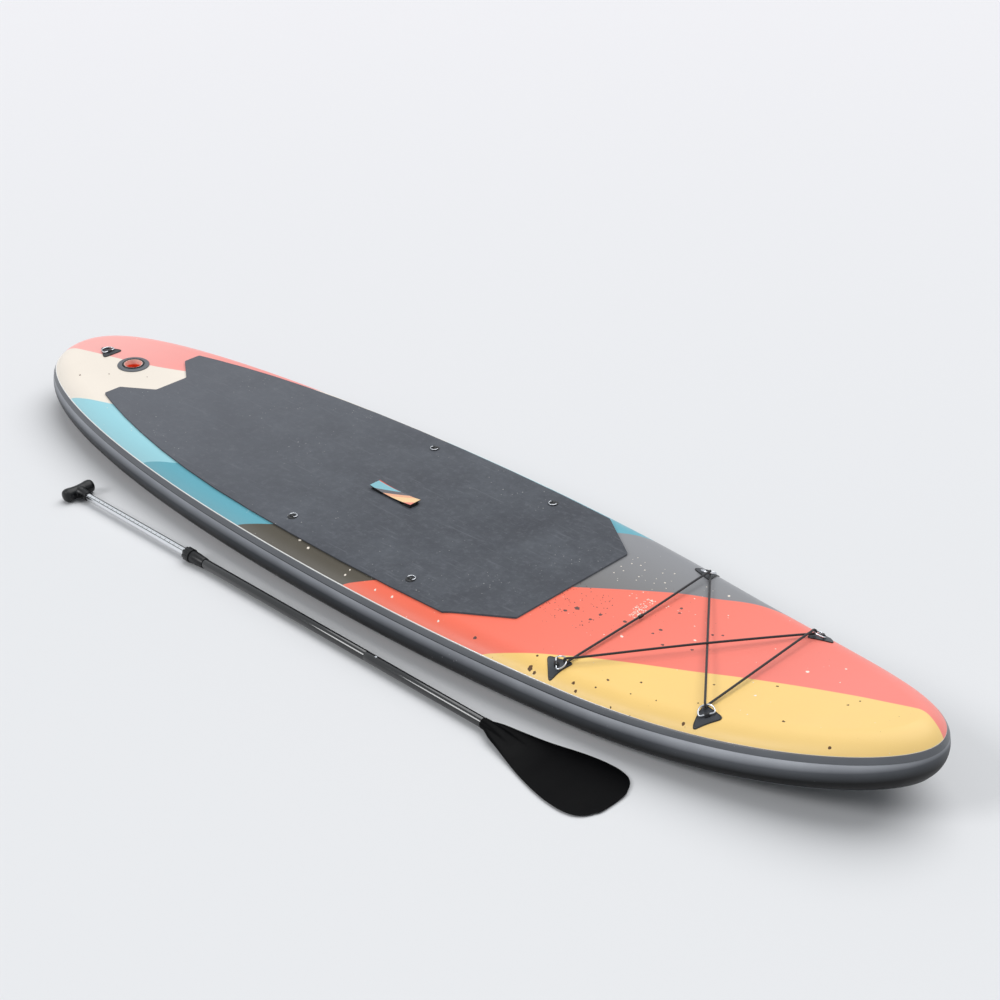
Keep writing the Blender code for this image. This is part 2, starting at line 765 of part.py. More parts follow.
def patch_with_ring(number, x, side, turn, look, held):
    # x and side place the patch; turn is the way that its point and its ring's bow face
    y = side * (half_width(x) + PATCH_OUTSIDE_FLAT) if side else 0.0
    name = "tail" if not side else "nose"
    suffix = "" if not side else "_" + str(number)
    frame = Matrix.Translation((x, y, 0.0)) @ Matrix.Rotation(turn, 4, "Z")
    rows = triangle_rows(frame)
    patch = place(name + "_patch" + suffix, mesh_from("patch", grid(rows)), look["patch"])
    solidify(patch, PATCH_THICKNESS, outward=True)

    radius = RING_WIRE / 2
    bar, axes = bar_frame(frame, radius)
    # A held ring's bow stands clear of the cord's lower run, a free one lies on its patch
    clear = GAP + radius + (CORD + 3 * GAP if held else 0.0)
    reach = RING_DEPTH - RING_WIRE
    level = patch_top(frame @ Vector((reach / 2, 0.0, 0.0))) + clear
    lean = math.atan2(axes[2][0], axes[2][2])
    pitch = math.asin((level - bar.z) / reach / math.hypot(axes[2][0], axes[2][2])) - lean
    bow = bar + axes @ Vector((reach * math.cos(pitch), 0.0, reach * math.sin(pitch)))
    pivot = empty(name + "_ring_pivot" + suffix, bar, axes.to_euler())
    tilt = empty(name + "_ring_tilt" + suffix, (0.0, 0.0, 0.0), (0.0, -pitch, 0.0), pivot)
    drop = (bar.z - patch_top(bar)) * axes[2][2] + PATCH_THICKNESS / 2
    add_loop(patch, name + "_loop" + suffix, pivot, radius, drop)
    points = ring_points(RING_WIDTH, RING_DEPTH, radius)
    wire(name + "_ring" + suffix, points, radius, look["steel"], tilt, closed=True, resolution=1)
    return bar, bow


def pad_ring_places():
    places = []
    for x in (HANDLE_X - PAD_RING_BEHIND_HANDLE, HANDLE_X + PAD_RING_BEFORE_HANDLE):
        for side in (-1, 1):
            places.append((x, side * (pad_half(x) - PAD_RING_INSET), -side * math.pi / 2))
    return places


def build_pad_rings(look):
    radius = PAD_RING_WIRE / 2
    for number, (x, y, turn) in enumerate(pad_ring_places(), 1):
        base_level = BOARD_THICKNESS + PAD_LEVEL + GAP
        over = PAD_RING_BASE_THICKNESS + GAP + radius
        bar = Matrix.Rotation(turn, 4, "Z") @ Vector((-PAD_RING_DEPTH / 2, 0.0, 0.0))
        pivot = empty("pad_ring_pivot_" + str(number), (x + bar.x, y + bar.y, base_level + over),
                      (0.0, 0.0, turn))
        outline = []
        for i in range(SIDES):
            angle = 2 * math.pi * i / SIDES
            outline.append((PAD_RING_BASE_RADIUS * math.cos(angle), PAD_RING_BASE_RADIUS * math.sin(angle)))
        plate = flat_curve("pad_ring_base_" + str(number), [outline], PAD_RING_BASE_THICKNESS,
                           parent=pivot)
        plate.location = (0.0, 0.0, PAD_RING_BASE_THICKNESS / 2 - over)
        plate = as_mesh(plate)
        plate.data.materials.append(look["patch"])
        add_loop(plate, "pad_loop_" + str(number), pivot, radius, over - PAD_RING_BASE_THICKNESS / 2)
        points = ring_points(PAD_RING_WIDTH, PAD_RING_DEPTH, radius)
        wire("pad_ring_" + str(number), points, radius, look["steel"], pivot, closed=True, resolution=1)


# The bungee net: one elastic cord through four rings, its ends joined by a sleeve

def build_rings(look):
    nose = BOARD_LENGTH / 2
    rear = nose - REAR_PATCH_FROM_NOSE
    front = nose - FRONT_PATCH_FROM_NOSE
    eighth = math.pi / 4
    bows = []
    # In the cord's order: near rear, near front, far rear and far front
    for number, (x, side, turn) in enumerate(((rear, -1, eighth), (front, -1, 3 * eighth),
                                              (rear, 1, -eighth), (front, 1, -3 * eighth)), 1):
        bows.append(patch_with_ring(number, x, side, turn, look, True))
    tail = -nose + TAIL_PATCH_FROM_TAIL
    patch_with_ring(0, tail, 0, math.pi, look, False)
    return bows


def smooth(points, spacing):
    # A centripetal curve through the points, read at steps no longer than spacing
    first = points[0] * 2 - points[1]
    last = points[-1] * 2 - points[-2]
    chain = [first] + points + [last]
    sampled = []
    for a, b, c, d in zip(chain, chain[1:], chain[2:], chain[3:]):
        ta = 0.0
        tb = ta + math.sqrt((b - a).length)
        tc = tb + math.sqrt((c - b).length)
        td = tc + math.sqrt((d - c).length)
        pieces = max(1, math.ceil((c - b).length / spacing))
        for k in range(pieces):
            t = tb + (tc - tb) * k / pieces
            ab = a.lerp(b, (t - ta) / (tb - ta))
            bc = b.lerp(c, (t - tb) / (tc - tb))
            cd = c.lerp(d, (t - tc) / (td - tc))
            abc = ab.lerp(bc, (t - ta) / (tc - ta))
            bcd = bc.lerp(cd, (t - tb) / (td - tb))
            sampled.append(abc.lerp(bcd, (t - tb) / (tc - tb)))
    sampled.append(points[-1])
    return sampled


def round_bow(bow, inboard, arriving, leaving):
    # The cord comes in over the bow's wire, turns down through the ring and leaves under the wire
    up = Vector((0.0, 0.0, 1.0))
    radius = ((RING_WIRE + CORD) / 2 + GAP) / math.cos(math.pi / 8)
    points = [bow + arriving * 0.035 + up * radius, bow + arriving * 0.012 + up * radius]
    for i in range(5):
        angle = math.pi / 4 * i
        points.append(bow - inboard * radius * math.sin(angle) + up * radius * math.cos(angle))
    points.append(bow + leaving * 0.012 - up * radius)
    points.append(bow + leaving * 0.035 - up * radius * 0.9)
    return points


def flat_direction(start, end):
    way = end - start
    way.z = 0.0
    return way.normalized()


def build_bungee(bows, look):
    middle = BOARD_THICKNESS + NET_RISE
    rear_x = bows[0][1].x
    start = Vector((rear_x, FERRULE_LENGTH / 2 + GAP, middle))
    finish = Vector((rear_x, -FERRULE_LENGTH / 2 - GAP, middle))
    # From the sleeve to far rear, near front, far front, near rear and back to the sleeve
    order = (2, 1, 3, 0)
    stops = [start] + [bows[index][1] for index in order] + [finish]
    over = (CORD + GAP * 2) / 2
    crossings = {1: -over, 3: over}
    route = [start, start + Vector((0.0, FERRULE_LENGTH, 0.0))]
    for step, index in enumerate(order, 1):
        bar, bow = bows[index]
        arriving = flat_direction(bow, stops[step - 1])
        leaving = flat_direction(bow, stops[step + 1])
        turn = round_bow(bow, flat_direction(bar, bow), arriving, leaving)
        if step - 1 in crossings:
            # The two long runs pass one over the other where they cross
            halfway = (route[-1] + turn[0]) / 2
            halfway.z += crossings[step - 1]
            route.append(halfway)
        route += turn
    route += [finish - Vector((0.0, FERRULE_LENGTH, 0.0)), finish]
    wire("bungee_cord", smooth(route, CORD_STEP), CORD / 2, look["cord"])
    ferrule = cylinder("bungee_ferrule", FERRULE_RADIUS, -FERRULE_LENGTH / 2, FERRULE_LENGTH / 2,
                       collection=parts, look=look["dark"], steps=12)
    ferrule.location = (rear_x, 0.0, middle)
    ferrule.rotation_euler = (math.pi / 2, 0.0, 0.0)


# The inflation valve, turned about its own axis

def build_valve(core, skin, look):
    x = -BOARD_LENGTH / 2 + VALVE_FROM_TAIL
    base = seat("valve_seat", x, VALVE_PATCH_RADIUS)
    neck = VALVE_BORE + VALVE_NECK_WALL
    edge = VALVE_PATCH_HEIGHT
    inner = VALVE_COLLAR_RADIUS + GAP
    turned("valve_patch", [(inner, edge), (VALVE_PATCH_RADIUS - edge, edge),
                           (VALVE_PATCH_RADIUS - edge * 0.3, edge * 0.7), (VALVE_PATCH_RADIUS, GAP),
                           (inner, GAP)], look["grey"], base)
    high = VALVE_COLLAR_HEIGHT
    turned("valve_collar", [(VALVE_BORE + 0.0010, high), (VALVE_COLLAR_RADIUS - 0.0015, high),
                            (VALVE_COLLAR_RADIUS, high - 0.0020), (VALVE_COLLAR_RADIUS, GAP), (neck, GAP),
                            (neck, -VALVE_NECK_DEPTH), (VALVE_BORE, -VALVE_NECK_DEPTH),
                            (VALVE_BORE, high - 0.0010)], look["dark"], base)
    under = -SKIN - GAP
    turned("valve_nut", [(neck + GAP, under), (neck + VALVE_NUT_WIDTH, under),
                         (neck + VALVE_NUT_WIDTH, under - 0.0030),
                         (neck + 0.0040, -VALVE_NECK_DEPTH), (neck + GAP, -VALVE_NECK_DEPTH)],
           look["dark"], base)

    outer = VALVE_BORE - GAP
    rim = high - CUP_RIM_DROP
    floor = -CUP_DEPTH
    bore = STEM_RADIUS + BORE_CLEARANCE
    cup = turned("valve_cup", [(outer - CUP_WALL, rim), (outer, rim), (outer, floor - CUP_FLOOR),
                               (bore, floor - CUP_FLOOR), (bore, floor), (outer - CUP_WALL, floor)],
                 look["orange"], base)
    for i in range(VENT_COUNT):
        angle = 2 * math.pi * (i + 0.5) / VENT_COUNT
        vent = cylinder("valve_vent_" + str(i), VENT_RADIUS, floor - 2 * CUP_FLOOR, floor + CUP_FLOOR, base, 12)
        vent.location = (VENT_REACH * math.cos(angle), VENT_REACH * math.sin(angle), 0.0)
        combine(cup, vent, "DIFFERENCE")

    # The spring's room under the head is the stem's travel and the closed coil
    head = floor + VALVE_TRAVEL + SPRING_TURNS * SPRING_WIRE * 1.2 + STEM_HEAD_THICKNESS
    foot = floor - CUP_FLOOR - GAP
    turned("valve_stem", [(0.0, head), (STEM_HEAD_RADIUS - 0.0008, head),
                          (STEM_HEAD_RADIUS, head - 0.0008),
                          (STEM_HEAD_RADIUS, head - STEM_HEAD_THICKNESS),
                          (STEM_RADIUS, head - STEM_HEAD_THICKNESS), (STEM_RADIUS, foot), (0.0, foot)],
           look["orange"], base, steps=16)
    turned("valve_poppet", [(0.0, foot - GAP), (POPPET_RADIUS, foot - GAP),
                            (POPPET_RADIUS, foot - GAP - POPPET_THICKNESS * 0.5),
                            (POPPET_RADIUS * 0.5, foot - GAP - POPPET_THICKNESS),
                            (0.0, foot - GAP - POPPET_THICKNESS)], look["rubber"], base)
    low = floor + SPRING_WIRE / 2 + GAP
    top = head - STEM_HEAD_THICKNESS - SPRING_WIRE / 2 - GAP
    mean = STEM_RADIUS + SPRING_WIRE / 2 + 2 * BORE_CLEARANCE
    count = round(SPRING_TURNS * 8)
    points = []
    for i in range(count + 1):
        angle = 2 * math.pi * SPRING_TURNS * i / count
        points.append((mean * math.cos(angle), mean * math.sin(angle), low + (top - low) * i / count))
    wire("valve_spring", points, SPRING_WIRE / 2, look["spring"], base, resolution=1)
    print("valve_spring least gap", round(least_gap(points, SPRING_WIRE), 5))

    combine(skin, cylinder("skin_hole", neck + GAP, -0.02, 0.02, base), "DIFFERENCE")
    well = neck + VALVE_NUT_WIDTH + GAP
    deep = -VALVE_NECK_DEPTH - GAP
    bottom = foot - POPPET_THICKNESS - VALVE_TRAVEL - 0.004
    combine(core, turned("valve_well", [(0.0, 0.02), (well, 0.02), (well, deep), (neck + GAP, deep),
                                        (neck + GAP, bottom), (0.0, bottom)],
                         None, base, cutters), "DIFFERENCE")


# The slide-in fin base

def build_fin_base(look):
    x = -BOARD_LENGTH / 2 + FIN_BASE_FROM_TAIL
    base = seat("fin_seat", x, FIN_BASE_LENGTH / 2, bottom=True)
    round_end = FIN_BASE_WIDTH / 2
    straight = FIN_BASE_LENGTH / 2 - round_end
    outline = []
    for i in range(17):
        angle = math.pi * (i / 16 - 0.5)
        outline.append((straight + round_end * math.cos(angle), round_end * math.sin(angle)))
    outline += [(-a, -b) for a, b in outline]
    plate = flat_curve("fin_base", [outline], FIN_BASE_PLATE, parent=base)
    plate.location = (0.0, 0.0, -DRAPE_GAP - FIN_BASE_PLATE / 2)
    plate = as_mesh(plate)
    plate.data.materials.append(look["dark"])
    high = -DRAPE_GAP - FIN_BASE_PLATE / 2
    low = -DRAPE_GAP - FIN_BASE_PLATE - FIN_TRACK_HEIGHT
    for name, side in (("near", -1), ("far", 1)):
        inner = FIN_SLOT_WIDTH / 2
        outer = FIN_TRACK_WIDTH / 2
        rows = []
        for end in (-1, 1):
            flare = end * FIN_TRACK_LENGTH / 2
            section = ((inner, low), (outer - 0.002, low), (outer, high), (inner + 0.0015, high),
                       (inner + 0.0015, low + 0.0011), (inner, low + 0.0011))
            rows.append([(flare, side * y, z) for y, z in section])
        rail = place("fin_track_" + name, mesh_from("fin_track", capped(rows)), None, base, cutters)
        combine(plate, rail, "UNION")


# The paddle, which lies beside the near rail along X

PADDLE_Y = -BOARD_WIDTH / 2 - PADDLE_BESIDE_RAIL
BORE_RADIUS = TUBE_RADIUS - TUBE_WALL


def tube(name, low, high, outer, wall, look, parent):
    inner = outer - wall
    return turned(name, [(inner, high), (outer, high), (outer, low), (inner, low)], look, parent)


def build_grip(axis, look):
    # The bar across the top, a neck down the tube, and the bore that the tube is glued in
    half = GRIP_WIDTH / 2
    profile = [(0.0, half), (GRIP_RADIUS * 0.55, half * 0.99), (GRIP_RADIUS * 0.85, half * 0.93),
               (GRIP_RADIUS, half * 0.80), (GRIP_RADIUS * 0.97, half * 0.55), (GRIP_WAIST, half * 0.2)]
    profile += [(radius, -height) for radius, height in reversed(profile)]
    centre = UPPER_END_X - GRIP_WAIST - 2 * GRIP_NECK_WALL
    bar = turned("paddle_grip", profile, look["dark"], axis)
    bar.location = (0.0, 0.0, centre)
    bar.rotation_euler = (math.pi / 2, 0.0, 0.0)
    end = UPPER_END_X + GRIP_NECK_LENGTH / 2
    outer = UPPER_RADIUS + GRIP_NECK_WALL
    neck = turned("grip_neck", [(0.0, end), (outer, end), (outer + 0.001, UPPER_END_X),
                                (outer + 0.003, centre + GRIP_WAIST * 0.7), (outer, centre),
                                (0.0, centre)], None, axis, cutters)
    combine(bar, neck, "UNION")
    bore = cylinder("grip_bore", UPPER_RADIUS + GAP, UPPER_END_X - GAP, end + GRIP_NECK_LENGTH, axis)
    combine(bar, bore, "DIFFERENCE")


def build_lock(axis, look):
    # Threaded spigot and sleeve on the middle tube, a split collet in it and a nut that squeezes it
    spigot = LOCK_X - NUT_LENGTH + NUT_WALL + GAP
    end = LOCK_X + SLEEVE_LENGTH
    collet_outer = UPPER_RADIUS + GAP + COLLET_WALL
    turned("lock_sleeve", [(TUBE_RADIUS + GAP, end), (TUBE_RADIUS + 0.0012, end),
                           (SLEEVE_RADIUS, LOCK_X + SLEEVE_LENGTH * 0.35), (SLEEVE_RADIUS, LOCK_X + GAP),
                           (SPIGOT_RADIUS, LOCK_X + GAP), (SPIGOT_RADIUS, spigot),
                           (collet_outer + GAP, spigot), (collet_outer + GAP, LOCK_X),
                           (TUBE_RADIUS + GAP, LOCK_X)], look["shaft"], axis)
    collet = turned("lock_collet", [(UPPER_RADIUS + GAP, LOCK_X - 2 * GAP),
                                    (collet_outer, LOCK_X - 2 * GAP),
                                    (collet_outer, spigot), (UPPER_RADIUS + GAP, spigot)],
                    look["grey"], axis)
    length = NUT_LENGTH * 0.55
    for i in range(COLLET_SLITS):
        angle = 2 * math.pi * (i + 0.5) / COLLET_SLITS
        build = bmesh.new()
        bmesh.ops.create_cube(build, size=1.0)
        bmesh.ops.scale(build, verts=build.verts, vec=(2 * COLLET_WALL + 0.004, SLIT_WIDTH, length))
        slit = place("collet_slit_" + str(i), mesh_from("collet_slit", build), None, axis, cutters)
        reach = UPPER_RADIUS + COLLET_WALL
        slit.location = (reach * math.cos(angle), reach * math.sin(angle), spigot + length / 2 - 0.001)
        slit.rotation_euler = (0.0, 0.0, angle)
        combine(collet, slit, "DIFFERENCE")

    low = LOCK_X - NUT_LENGTH
    thread = SPIGOT_RADIUS + GAP
    hole = UPPER_RADIUS + 2 * GAP
    nut = turned("lock_nut", [(thread, LOCK_X), (NUT_RADIUS - 0.0008, LOCK_X), (NUT_RADIUS, LOCK_X - 0.001),
                              (NUT_RADIUS, low + 0.002), (NUT_RADIUS - 0.002, low), (hole, low),
                              (hole, low + NUT_WALL), (thread, low + NUT_WALL)], look["shaft"], axis)
    for i in range(NUT_LUGS):
        angle = 2 * math.pi * (i + 0.5) / NUT_LUGS
        groove = cylinder("nut_groove_" + str(i), LUG_RADIUS, low - 0.005, LOCK_X - 0.006, axis, 12)
        reach = NUT_RADIUS + LUG_RADIUS * 0.62
        groove.location = (reach * math.cos(angle), reach * math.sin(angle), 0.0)
        combine(nut, groove, "DIFFERENCE")


def build_joint(axis, lower, look):
    # The inner tube between middle and lower shaft, with the sprung button in it
    outer = BORE_RADIUS - GAP
    ferrule = tube("joint_ferrule", SEAM_X - FERRULE_REACH, SEAM_X + FERRULE_REACH, outer, FERRULE_WALL,
                   look["alloy"], axis)
    # Along the axis' own frame: +X there points down, so the button stands on -X
    place_x = SEAM_X + BUTTON_FROM_SEAM
    top = TUBE_RADIUS + BUTTON_STANDS
    # The inside of the faceted tube, where the button's flange and the spring touch it
    inside = (outer - FERRULE_WALL) * math.cos(math.pi / SIDES)
    ceiling = math.sqrt(inside ** 2 - BUTTON_FLANGE ** 2) - GAP
    pivot = empty("button_pivot", (0.0, 0.0, place_x), (0.0, -math.pi / 2, 0.0), axis)
    turned("snap_button", [(0.0, top), (BUTTON_RADIUS * 0.6, top), (BUTTON_RADIUS, top - BUTTON_STANDS / 2),
                           (BUTTON_RADIUS, ceiling), (BUTTON_FLANGE, ceiling),
                           (BUTTON_FLANGE, ceiling - 0.0010), (0.0, ceiling - 0.0010)],
           look["spring"], pivot, steps=16)
    hole = cylinder("button_hole", BUTTON_RADIUS + BUTTON_CLEARANCE, 0.004, top + 0.005, pivot, 16)
    combine(lower, hole, "DIFFERENCE")
    combine(ferrule, hole, "DIFFERENCE")
    # The leaf spring is bent like a V, its upper leg under the button and its lower leg on the wall
    high = ceiling - 0.0010 - GAP - LEAF_THICKNESS
    low = -math.sqrt(inside ** 2 - (LEAF_WIDTH / 2) ** 2) + GAP
    path = [(LEAF_LENGTH * 0.2, high), (-LEAF_LENGTH * 0.2, high), (-LEAF_LENGTH * 0.8, (high + low) / 2),
            (-LEAF_LENGTH * 0.2, low + LEAF_THICKNESS), (LEAF_LENGTH * 0.2, low + LEAF_THICKNESS)]
    rows = [[(z, LEAF_WIDTH / 2, x), (z, -LEAF_WIDTH / 2, x)] for x, z in path]
    leaf = place("button_spring", mesh_from("button_spring", grid(rows)), look["spring"],
                 empty("spring_pivot", (0.0, 0.0, place_x), (0.0, 0.0, math.pi), axis))
    solidify(leaf, LEAF_THICKNESS).use_even_offset = True


def blade_half(share):
    shares = [point[0] for point in BLADE_OUTLINE]
    widths = [point[1] for point in BLADE_OUTLINE]
    return float(np.interp(share, shares, widths)) * BLADE_WIDTH / 2


def build_blade(axis, look):
    # Lofted from the round throat to a flat blade with a rib down its middle
    rows = []
    for share, _ in BLADE_OUTLINE:
        half = blade_half(share)
        fade = min(share / 0.45, 1.0)
        eased = fade * fade * (3 - 2 * fade)
        rib = min(TUBE_RADIUS * (1 - eased) + BLADE_RIB_HALF * eased, half * 0.9)
        centre = 2 * TUBE_RADIUS * (1 - eased) + 0.0085 * eased * (1 - 0.45 * share)
        drop = BLADE_DROP * eased
        edge = min(BLADE_EDGE + (1 - fade) * 0.010, centre)
        across = [half, (half + rib) / 2, rib, rib * 0.6, 0.0]
        across += [-y for y in reversed(across[:-1])]
        top = []
        under = []
        for y in across:
            bulge = math.sqrt(max(1 - (min(abs(y) / rib, 1.0)) ** 2, 0.0))
            thick = edge + (centre - edge) * bulge
            top.append((drop - thick / 2, y, share * BLADE_LENGTH))
            under.append((drop + thick / 2, y, share * BLADE_LENGTH))
        rows.append(top + under[::-1])
    blade = place("blade", mesh_from("blade", capped(rows), 50.0), look["blade"], axis)
    blade.location = (0.0, 0.0, THROAT_X + GAP)
    plug = cylinder("blade_plug", BORE_RADIUS - GAP, THROAT_X - PLUG_LENGTH, THROAT_X + 0.012, axis)
    combine(blade, plug, "UNION")


def build_paddle(look):
    axis = empty("paddle_axis", (0.0, PADDLE_Y, GRIP_RADIUS), (0.0, math.pi / 2, 0.0))
    build_grip(axis, look)
    inner_end = LOCK_X + UPPER_INSERTION
    tube("upper_shaft", UPPER_END_X, inner_end, UPPER_RADIUS, UPPER_WALL, look["alloy"], axis)
    build_lock(axis, look)
    tube("middle_shaft", LOCK_X + GAP * 2, SEAM_X - GAP / 2, TUBE_RADIUS, TUBE_WALL, look["shaft"], axis)
    lower = tube("lower_shaft", SEAM_X + GAP / 2, THROAT_X, TUBE_RADIUS, TUBE_WALL, look["shaft"], axis)
    build_joint(axis, lower, look)
    build_blade(axis, look)


def main():
    clear_scene()
    bpy.context.scene.collection.children.link(parts)
    bpy.context.scene.collection.children.link(cutters)
    look = looks()
    core, skin = build_hull(look)
    build_pad(look)
    build_handle(look)
    bows = build_rings(look)
    build_pad_rings(look)
    build_bungee(bows, look)
    build_valve(core, skin, look)
    build_fin_base(look)
    build_paddle(look)


main()
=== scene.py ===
# Inflatable stand-up paddle board with its paddle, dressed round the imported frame
import random
from math import ceil, copysign, cos, hypot, pi, radians, sin, sqrt

import bmesh
import bpy
from mathutils import Matrix, Vector


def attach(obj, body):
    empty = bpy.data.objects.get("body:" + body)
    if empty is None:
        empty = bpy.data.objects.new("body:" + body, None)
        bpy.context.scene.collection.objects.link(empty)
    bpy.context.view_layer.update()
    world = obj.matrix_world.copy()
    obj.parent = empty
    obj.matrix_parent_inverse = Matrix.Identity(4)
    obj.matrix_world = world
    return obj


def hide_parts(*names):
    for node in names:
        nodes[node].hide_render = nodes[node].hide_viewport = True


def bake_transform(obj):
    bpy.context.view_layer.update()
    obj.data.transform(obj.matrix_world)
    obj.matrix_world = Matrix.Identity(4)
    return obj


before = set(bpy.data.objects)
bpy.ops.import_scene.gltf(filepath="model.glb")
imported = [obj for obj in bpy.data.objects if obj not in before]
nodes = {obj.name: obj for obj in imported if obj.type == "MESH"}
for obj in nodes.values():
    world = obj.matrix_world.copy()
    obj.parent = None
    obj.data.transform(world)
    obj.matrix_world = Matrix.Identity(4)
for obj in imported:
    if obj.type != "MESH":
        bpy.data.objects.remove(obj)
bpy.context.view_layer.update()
scene = bpy.context.scene
looks = {}
gap = 0.0003  # the clearance between touching pieces
print("frame loaded,", len(nodes), "nodes")


# Objects and meshes

def addObject(name, data, matrix=None):
    data.name = name
    made = bpy.data.objects.new(name, data)
    scene.collection.objects.link(made)
    if matrix is not None:
        made.matrix_world = matrix
    return made


def addPiece(name, data, look, body="board", node=None, slot=None, matrix=None):
    # a piece in its finish, riding on a body and standing in for a CAD node
    piece = addObject(name, data, matrix)
    data.materials.append(looks[look])
    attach(piece, body)
    if node:
        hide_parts(node)
    return piece


def spread(low, high, count):
    return [low + (high - low) * i / count for i in range(count + 1)]


def circle(radius, steps, first=0.0):
    angles = [2 * pi * (i + first) / steps for i in range(steps)]
    return [(radius * cos(angle), radius * sin(angle)) for angle in angles]


def bend(start, corner, end, t):
    return start.lerp(corner, t).lerp(corner.lerp(end, t), t)


def eased(outline, reach, steps=2, closed=True, straight=None):
    # each corner becomes a short curve, apart from an open line's ends and any nearly straight corner
    points = []
    for i, corner in enumerate(outline):
        here = Vector(corner)
        before = Vector(outline[i - 1]) - here
        after = Vector(outline[(i + 1) % len(outline)]) - here
        isEnd = not closed and i in (0, len(outline) - 1)
        if isEnd or (straight and before.angle(-after) < radians(straight)):
            points.append(corner)
            continue
        cut = min(reach, before.length * 0.45, after.length * 0.45)
        start, end = here + before.normalized() * cut, here + after.normalized() * cut
        points += [tuple(bend(start, here, end, t)) for t in spread(0.0, 1.0, steps)]
    return points


def shaded(mesh, sharp):
    mesh.shade_smooth()
    mesh.set_sharp_from_angle(angle=radians(sharp))
    return mesh


def toMesh(build, sharp=60.0):
    mesh = bpy.data.meshes.new("mesh")
    build.to_mesh(mesh)
    build.free()
    return shaded(mesh, sharp)


def joined(builds):
    whole = bmesh.new()
    for build in builds:
        part = toMesh(build)
        whole.from_mesh(part)
        bpy.data.meshes.remove(part)
    return whole


def gridOf(rows, around=False, capped=False):
    # quads between neighbouring rows of points, points that meet become one
    build = bmesh.new()
    made = [[build.verts.new(point) for point in row] for row in rows]
    for row, following in zip(made, made[1:]):
        for j in range(len(row) if around else len(row) - 1):
            k = (j + 1) % len(row)
            build.faces.new((row[j], row[k], following[k], following[j]))
    if capped:
        build.faces.new(made[0][::-1])
        build.faces.new(made[-1])
    bmesh.ops.remove_doubles(build, verts=build.verts, dist=0.00001)
    bmesh.ops.recalc_face_normals(build, faces=build.faces)
    return build


def gridMesh(rows, sharp=60.0, around=False, capped=False):
    return toMesh(gridOf(rows, around, capped), sharp)


def turnedRows(profile, steps):
    # rows once round Z, one for each (radius, height) of the profile
    return [[(x, y, height) for x, y in circle(radius, steps)] for radius, height in profile]


def turnedMesh(profile, steps, closed=False):
    return gridMesh(turnedRows(profile + profile[:1] if closed else profile, steps), 35.0, True)


def finalMesh(helper):
    # the helper's mesh with its modifiers applied, and the helper goes
    bpy.context.view_layer.update()
    mesh = bpy.data.meshes.new_from_object(helper.evaluated_get(bpy.context.evaluated_depsgraph_get()))
    bpy.data.objects.remove(helper)
    return mesh


def cutRound(mesh, radius, low, high, matrix, steps=96):
    # the mesh with a round hole from low to high about the matrix's own Z
    profile = [(0.0, low), (radius, low), (radius, high), (0.0, high)]
    tool = addObject("tool", turnedMesh(profile, steps), matrix)
    helper = addObject("helper", mesh)
    cut = helper.modifiers.new("hole", "BOOLEAN")
    cut.object = tool
    cut.solver = "EXACT"
    whole = finalMesh(helper)
    bpy.data.objects.remove(tool)
    return shaded(whole, 30.0)


def addTurned(name, profile, reach, steps, look, closed=True, holes=(), **rest):
    # a turned piece with its corners eased and its holes cut
    mesh = turnedMesh(eased(profile, reach, closed=closed), steps, closed)
    for hole in holes:
        mesh = cutRound(mesh, *hole)
    return addPiece(name, mesh, look, **rest)


def thicken(piece, thickness, offset, even=False):
    made = piece.modifiers.new("thickness", "SOLIDIFY")
    made.thickness = thickness
    made.offset = offset
    made.use_even_offset = even


def roundEdges(piece, width, segments, angle):
    made = piece.modifiers.new("rounding", "BEVEL")
    made.width = width
    made.segments = segments
    made.limit_method = "ANGLE"
    made.angle_limit = radians(angle)


def addSpline(data, points, closed):
    spline = data.splines.new("POLY")
    spline.points.add(len(points) - 1)
    for point, where in zip(spline.points, points):
        point.co = (*where, 1.0)
    spline.use_cyclic_u = closed


def flatCurve(loops):
    # filled flat outlines, one inside another is a hole
    data = bpy.data.curves.new("flat", "CURVE")
    data.dimensions = "2D"
    data.fill_mode = "BOTH"
    for loop in loops:
        addSpline(data, [(x, y, 0.0) for x, y in loop], True)
    return data


def addWire(name, points, radius, look, closed=False, roundness=4, **rest):
    data = bpy.data.curves.new(name, "CURVE")
    data.dimensions = "3D"
    data.bevel_depth = radius
    data.bevel_resolution = roundness
    data.use_fill_caps = True
    addSpline(data, points, closed)
    return addPiece(name, data, look, **rest)


def sweptMesh(points, section, sharp=60.0):
    # a closed body along points: one cross-section of (side, up) offsets, square to the path
    rows = []
    for i, point in enumerate(points):
        along = (points[min(i + 1, len(points) - 1)] - points[max(i - 1, 0)]).normalized()
        side = along.cross(Vector((0.0, 0.0, 1.0)))
        side = side.normalized() if side.length > 0.05 else Vector((0.0, 1.0, 0.0))
        rise = side.cross(along)
        rows.append([point + side * s + rise * r for s, r in section])
    return gridMesh(rows, sharp, True, True)


def addSpring(name, mesh, node):
    # a spring in spring steel stands in for its CAD node, left on no body
    piece = addObject(name, mesh)
    mesh.materials.append(looks["springSteel"])
    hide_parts(node)
    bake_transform(piece)


def placed(where, degrees):
    turn = Matrix.Identity(4)
    for axis, angle in zip("XYZ", degrees):
        turn = Matrix.Rotation(radians(angle), 4, axis) @ turn
    return Matrix.Translation(where) @ turn


# The camera stands where the photograph was taken from
photoView = {
    "place": (3.3124, -3.1785, 2.8064),
    "azimuth": 43.8414,
    "elevation": 29.642,
    "lens": 71.247,
    "sensor": 36.0,
}
cameraData = bpy.data.cameras.new("camera")
cameraData.lens = photoView["lens"]
cameraData.sensor_width = photoView["sensor"]
scene.camera = addObject("camera", cameraData)
scene.camera.location = photoView["place"]
scene.camera.rotation_euler = (radians(90 - photoView["elevation"]), 0, radians(photoView["azimuth"]))


# Materials

